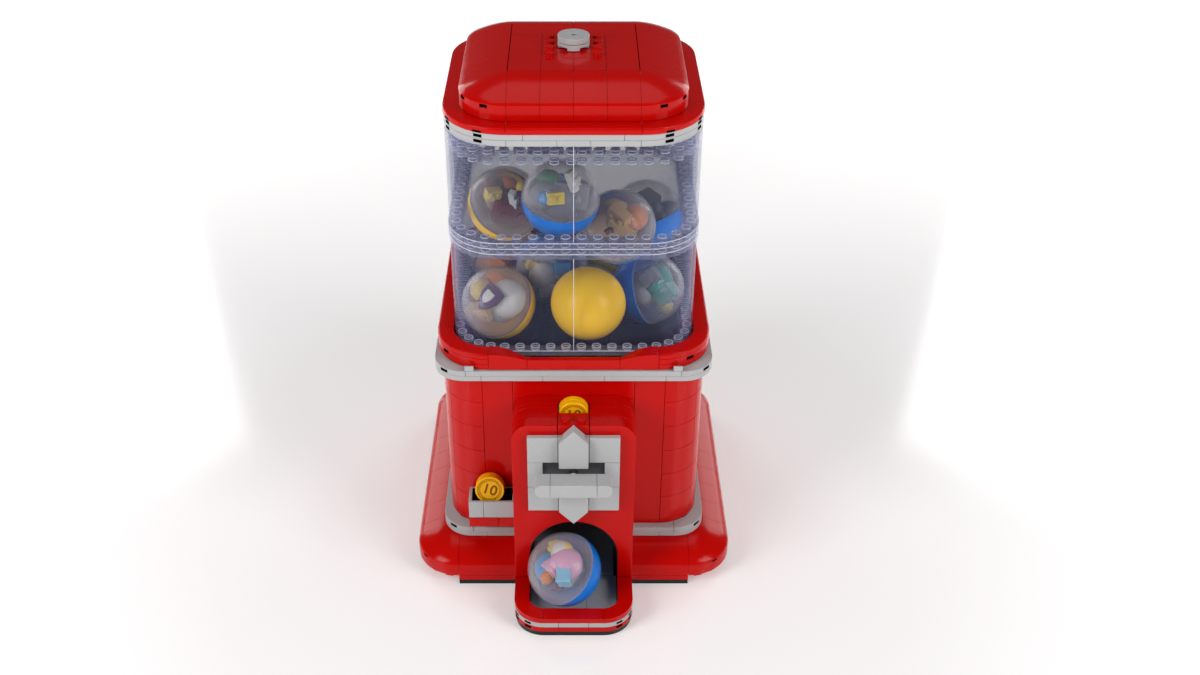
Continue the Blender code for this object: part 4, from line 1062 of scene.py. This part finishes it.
def toy_brick(kit, centre, size, basis):
    """A small studded brick inside a capsule, turned by a basis."""
    local = Kit()
    x, y, z = (s / 2 for s in size)
    box(local, (-x, -y, -z), (x, y, z))
    for i in (-1, 1):
        ring(local, 0, 1.6, z - 0.1, z + 1.2, 14, (i * x / 2, 0, 0))
    kit.add([basis @ p + centre for p in local.points], local.faces)


def toy_ball(kit, centre, radii, basis):
    local = Kit()
    steps = 8
    profile = [(sin(pi * i / steps), -cos(pi * i / steps)) for i in range(steps + 1)]
    profile[0], profile[-1] = (0.0, -1.0), (0.0, 1.0)
    turned(local, profile, 16)
    kit.add([basis @ Vector(p[i] * radii[i] for i in range(3)) + centre for p in local.points], local.faces)


def toy_set(name, centre, axis, fill, toys, body):
    """Generic toy shapes packed behind the clear half, round a soft filling.

    Each toy is (colour, shape, across, up, depth, size, turn).
    """
    right = axis.cross(Vector((0, 0, 1)))
    right = (right if right.length > 0.1 else Vector((1, 0, 0))).normalized()
    up = right.cross(axis).normalized()
    if up.z < 0:
        right, up = -right, -up
    filling = Kit()
    toy_ball(filling, centre - axis * 1.5, (10.5, 10.5, 10.5), Matrix.Identity(3))
    piece(name + "_filling", filling, TOYS[fill], body, bevel=0)
    for n, (colour, shape, across, rise, depth, size, spin) in enumerate(toys):
        size = [1.2 * s for s in size]
        offset = Vector((across, rise, depth + 5)) * 1.1
        reach = 13.4 if shape == "shield" else 17.6 - max(size) * (1 if shape == "ball" else 0.42)
        offset *= min(1, reach / offset.length)
        place = centre + right * offset.x + up * offset.y + axis * offset.z
        basis = Matrix((right, up, axis)).transposed() @ Matrix.Rotation(spin, 3, "Z")
        kit = Kit()
        if shape == "ball":
            toy_ball(kit, place, size, basis)
        elif shape == "shield":
            outline = [(-0.5, 0.5), (0.5, 0.5), (0.5, 0.0), (0.3, -0.38)]
            outline += [(0, -0.6), (-0.3, -0.38), (-0.5, 0.0)]
            local = Kit()
            prism(local, [(x * size[0], y * size[1]) for x, y in outline], -size[2] / 2, size[2] / 2)
            kit.add([basis @ p + place for p in local.points], local.faces)
        else:
            toy_brick(kit, place, size, basis @ Matrix.Rotation(radians(60), 3, "X"))
        piece(f"{name}_toy_{n}", kit, TOYS[colour], body, bevel=0.35 if shape != "ball" else 0)


def capsule(name, centre, axis, colour, fill, toys, radius=19.85, body="machine", cover_body=None, nodes=()):
    """A ball in a coloured and a clear half; axis points out of the clear one."""
    axis = Vector(axis).normalized()
    centre = Vector(centre)
    kit = Kit()
    half_shell(kit, radius, 1.3, centre, -axis)
    solid = {"yellow": YELLOW, "blue": BLUE}[colour]
    piece(name + "_base", kit, solid, body, nodes[:1], bevel=0.1)
    kit = Kit()
    half_shell(kit, radius, 1.0, centre, axis)
    piece(name + "_cover", kit, SHELL, cover_body or body, nodes[1:], bevel=0.1)
    rim = Kit()
    ring(rim, radius - 1.0, radius - 0.02, 0, 0.4, 56, centre, axis)
    piece(name + "_rim", rim, CRYSTAL, cover_body or body, bevel=0.1)
    toy_set(name, centre, axis, fill, toys, body)


def facing(centre, towards, across, upwards):
    """A direction given by its shares towards the front viewpoint, to the right and upwards from there."""
    ahead = (VIEW_POINT - centre).normalized()
    right = (ACROSS - ahead * ahead.x).normalized()
    return ahead * towards + right * across + ahead.cross(right) * upwards


def build_capsules():
    specs = {
        1: ("yellow", (0.82, 0.34, 0.42), "brown", [
            ("maroon", "brick", 1, -4, -3, (15, 10, 9), 0.4), ("orange", "ball", -3, 7, -1, (5, 4, 4), 0),
            ("lemon", "ball", -7, 2, 4, (3, 3, 3), 0), ("white", "brick", 2, -3, 7, (3, 9, 3), -0.6),
            ("maroon", "brick", -2, -5, 8, (3, 9, 3), -0.6), ("lemon", "brick", 8, 4, 2, (7, 5, 4), 0.2),
            ("brown", "ball", 4, 8, -2, (6, 5, 5), 0)]),
        2: ("blue", (0.62, 0.1, 0.78), "slate", [
            ("slate", "brick", -4, -2, -3, (15, 10, 9), 0.6), ("green", "ball", 4, 6, 3, (5, 4, 4), 0.5),
            ("lemon", "brick", 8, -8, 3, (7, 5, 4), 0.2), ("white", "brick", -4, -3, 7, (5, 9, 3), -0.5),
            ("slate", "ball", 8, 1, -2, (7, 6, 6), 0), ("azure", "ball", 11, -4, 1, (3, 3, 3), 0)]),
        3: ("blue", (0.93, -0.2, 0.25), "tan", [
            ("tan", "ball", 7, 2, -3, (11, 11, 9), 0), ("tan", "brick", -5, -6, 3, (14, 9, 6), 0.7),
            ("tan", "brick", -2, 3, 5, (10, 6, 5), 0.5), ("brown", "brick", -3, -1, 8, (14, 2, 2), -0.8),
            ("orange", "ball", -9, 6, -2, (6, 6, 5), 0)]),
        4: ("blue", (0.25, -0.3, 0.92), "slate", [("slate", "brick", 0, 0, 0, (14, 10, 9), 0.3)]),
        5: ("yellow", (0.80, -0.48, 0.30), "pale", [
            ("violet", "shield", -3, -1, 10, (10, 11, 2.0), 0.35),
            ("white", "shield", -3, -1, 11.6, (5, 5.5, 3.4), 0.35),
            ("lemon", "ball", 9, 2, 4, (5, 5, 5), 0), ("orange", "brick", 5, 9, -2, (10, 6, 5), 0.5),
            ("tan", "brick", 4, -9, 1, (12, 6, 6), -0.3), ("white", "ball", -6, 4, -3, (9, 9, 8), 0)]),
        6: ("blue", (0.72, 0.05, -0.68), "pale", [
            ("slate", "brick", -7, 1, 3, (12, 9, 8), 0.8), ("white", "ball", 6, 2, 4, (7, 7, 6), 0),
            ("azure", "brick", -5, 9, 4, (7, 7, 5), 0.1), ("white", "brick", 2, -4, 7, (8, 6, 4), -0.5),
            ("lemon", "brick", 11, 8, 1, (7, 4, 4), 0.6), ("slate", "brick", 6, -6, 2, (10, 7, 6), 0.3)]),
        7: ("yellow", (-0.93, 0.1, 0.3), "slate", [("slate", "brick", 0, 0, 0, (14, 10, 9), 0.3)]),
        8: ("blue", (0.40, 0.90, 0.12), "pale", [
            ("teal", "ball", -2, 5, 4, (9, 8, 7), 0), ("teal", "brick", 3, -3, 5, (10, 9, 7), 0.4),
            ("white", "brick", -3, -8, 6, (12, 4, 4), 0.1), ("lemon", "ball", 1, -11, 2, (4, 4, 4), 0),
            ("slate", "brick", 5, 8, 1, (8, 8, 6), 0.5)]),
        9: ("yellow", (0.55, -0.5, -0.6), "orange", [("orange", "brick", 0, 0, 3, (14, 10, 9), 0.3)]),
        10: ("yellow", (-0.7, 0.1, 0.7), "orange", [("orange", "brick", 0, 0, 0, (14, 10, 9), 0.3)]),
    }
    for n, (colour, axis, fill, toys) in specs.items():
        node = f"hopper_capsule_{n:02d}"
        centre = (low(node) + high(node)) / 2
        capsule(f"capsule_{n:02d}", centre, facing(centre, *axis), colour, fill, toys, nodes=[node])
    toys = [
        ("pink", "ball", -5, 5, 2, (8, 8, 7), 0), ("sky", "brick", -11, 1, 4, (9, 7, 6), 0.7),
        ("azure", "ball", 6, -8, 5, (8, 7, 6), 0), ("lemon", "brick", 7, 4, 0, (8, 6, 5), 0.4),
        ("white", "ball", 3, 9, 3, (6, 5, 5), 0), ("pink", "brick", -2, -2, 3, (9, 7, 5), -0.3),
        ("lemon", "ball", 2, 12, 4, (4, 3, 3), 0), ("orange", "ball", -5, -8, 8, (3, 3, 3), 0),
        ("violet", "ball", -6, -11, 3, (7, 4, 4), 0),
    ]
    nodes = ["capsule_base", "capsule_cover"]
    centre, axis = (-5.0, -104.8, 27.0), (-0.62, -0.34, 0.7)
    capsule("tray_capsule", centre, axis, "blue", "white", toys, 19.9, "capsule", "capsule_lid", nodes)


# ---------------------------------------------------------------- inside parts, floor, light and camera


def finish_inner_parts():
    """Inner CAD nodes whose shapes are right get the same plastics."""
    for node, material in (
        ("carousel", BLACK), ("hopper_deck", BLACK), ("drop_shield", BLACK), ("carousel_shaft", DARK),
        ("drive_pinion", DARK), ("coin_guide", GREY),
    ):
        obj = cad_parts[node]
        obj.data.materials.clear()
        obj.data.materials.append(material)


def build_stage():
    """A pale, slightly glossy floor with painted light, and a white surround: the floor glows, faintly near
    the machine and more strongly outwards, so it grows lighter outwards.
    """
    reach = 3.0
    mesh = bpy.data.meshes.new("studio_floor")
    corners = [(-reach, -reach, 0), (reach, -reach, 0), (reach, reach, 0), (-reach, reach, 0)]
    mesh.from_pydata(corners, [], [(0, 1, 2, 3)])
    floor = bpy.data.objects.new("studio_floor", mesh)
    bpy.context.scene.collection.objects.link(floor)
    material, nodes, links, shader = principled("studio_floor")
    surface_noise(nodes, links, shader, 2, 0.10, 0.13, 0.0)
    shader.inputs["Base Color"].default_value = (0.88, 0.87, 0.87, 1)
    shader.inputs["Specular IOR Level"].default_value = 0.7
    shader.inputs["Emission Color"].default_value = (1, 0.99, 0.985, 1)
    # Painted light: the floor's glow grows from faint near the machine to strong further out.
    place = nodes.new("ShaderNodeTexCoord")
    distance = nodes.new("ShaderNodeVectorMath")
    spread = nodes.new("ShaderNodeMapRange")
    distance.operation = "LENGTH"
    spread.inputs["From Min"].default_value = 0.22
    spread.inputs["From Max"].default_value = 1.1
    spread.inputs["To Min"].default_value = 0.22
    spread.inputs["To Max"].default_value = 0.9
    links.new(place.outputs["Object"], distance.inputs[0])
    links.new(distance.outputs["Value"], spread.inputs["Value"])
    links.new(spread.outputs["Result"], shader.inputs["Emission Strength"])
    mesh.materials.append(material)
    world = bpy.data.worlds.new("studio")
    bpy.context.scene.world = world
    world.use_nodes = True
    nodes, links = world.node_tree.nodes, world.node_tree.links
    soft = nodes["Background"]
    soft.inputs["Color"].default_value = (1, 1, 1, 1)
    soft.inputs["Strength"].default_value = 0.10
    white = nodes.new("ShaderNodeBackground")
    white.inputs["Color"].default_value = (1, 1, 1, 1)
    white.inputs["Strength"].default_value = 1.0
    seen = nodes.new("ShaderNodeLightPath")
    both = nodes.new("ShaderNodeMixShader")
    links.new(seen.outputs["Is Camera Ray"], both.inputs["Fac"])
    links.new(soft.outputs["Background"], both.inputs[1])
    links.new(white.outputs["Background"], both.inputs[2])
    links.new(both.outputs["Shader"], nodes["World Output"].inputs["Surface"])
    bpy.context.scene.view_settings.view_transform = "Standard"


def add_light(name, place, aim, size, power):
    light = bpy.data.lights.new(name, "AREA")
    light.shape = "RECTANGLE"
    light.size, light.size_y = size
    light.energy = power
    obj = bpy.data.objects.new(name, light)
    bpy.context.scene.collection.objects.link(obj)
    obj.location = place
    obj.rotation_euler = (Vector(aim) - Vector(place)).to_track_quat("-Z", "Y").to_euler()


def build_lights():
    middle = (0, 0, 0.14)
    add_light("left_softbox", (-0.80, -0.62, 0.62), middle, (0.45, 0.7), 7.4)
    add_light("right_softbox", (0.80, -0.62, 0.62), middle, (0.45, 0.7), 6.6)
    add_light("top_softbox", (0, 0.2, 1.15), middle, (0.9, 0.6), 2.0)
    add_light("rear_left_softbox", (-0.75, 0.95, 0.42), middle, (0.5, 0.7), 3.6)
    add_light("rear_right_softbox", (0.75, 0.95, 0.42), middle, (0.5, 0.7), 3.6)


def build_camera():
    data = bpy.data.cameras.new("camera")
    data.sensor_width = 36
    data.lens = 40.82
    data.shift_x = 0.022
    data.clip_start = 0.01
    camera = bpy.data.objects.new("camera", data)
    bpy.context.scene.collection.objects.link(camera)
    camera.location = VIEW_POINT * MM
    camera.rotation_euler = (pi / 2 - VIEW_PITCH, 0, 0)
    bpy.context.scene.camera = camera


build_base()
build_skirt()
build_trim()
build_walls()
build_collar()
build_window()
build_band()
build_lid()
build_pod()
build_coin_block()
build_tray()
build_chute()
build_dial()
build_coins()
build_coin_tray()
build_capsules()
finish_inner_parts()
build_stage()
build_lights()
build_camera()
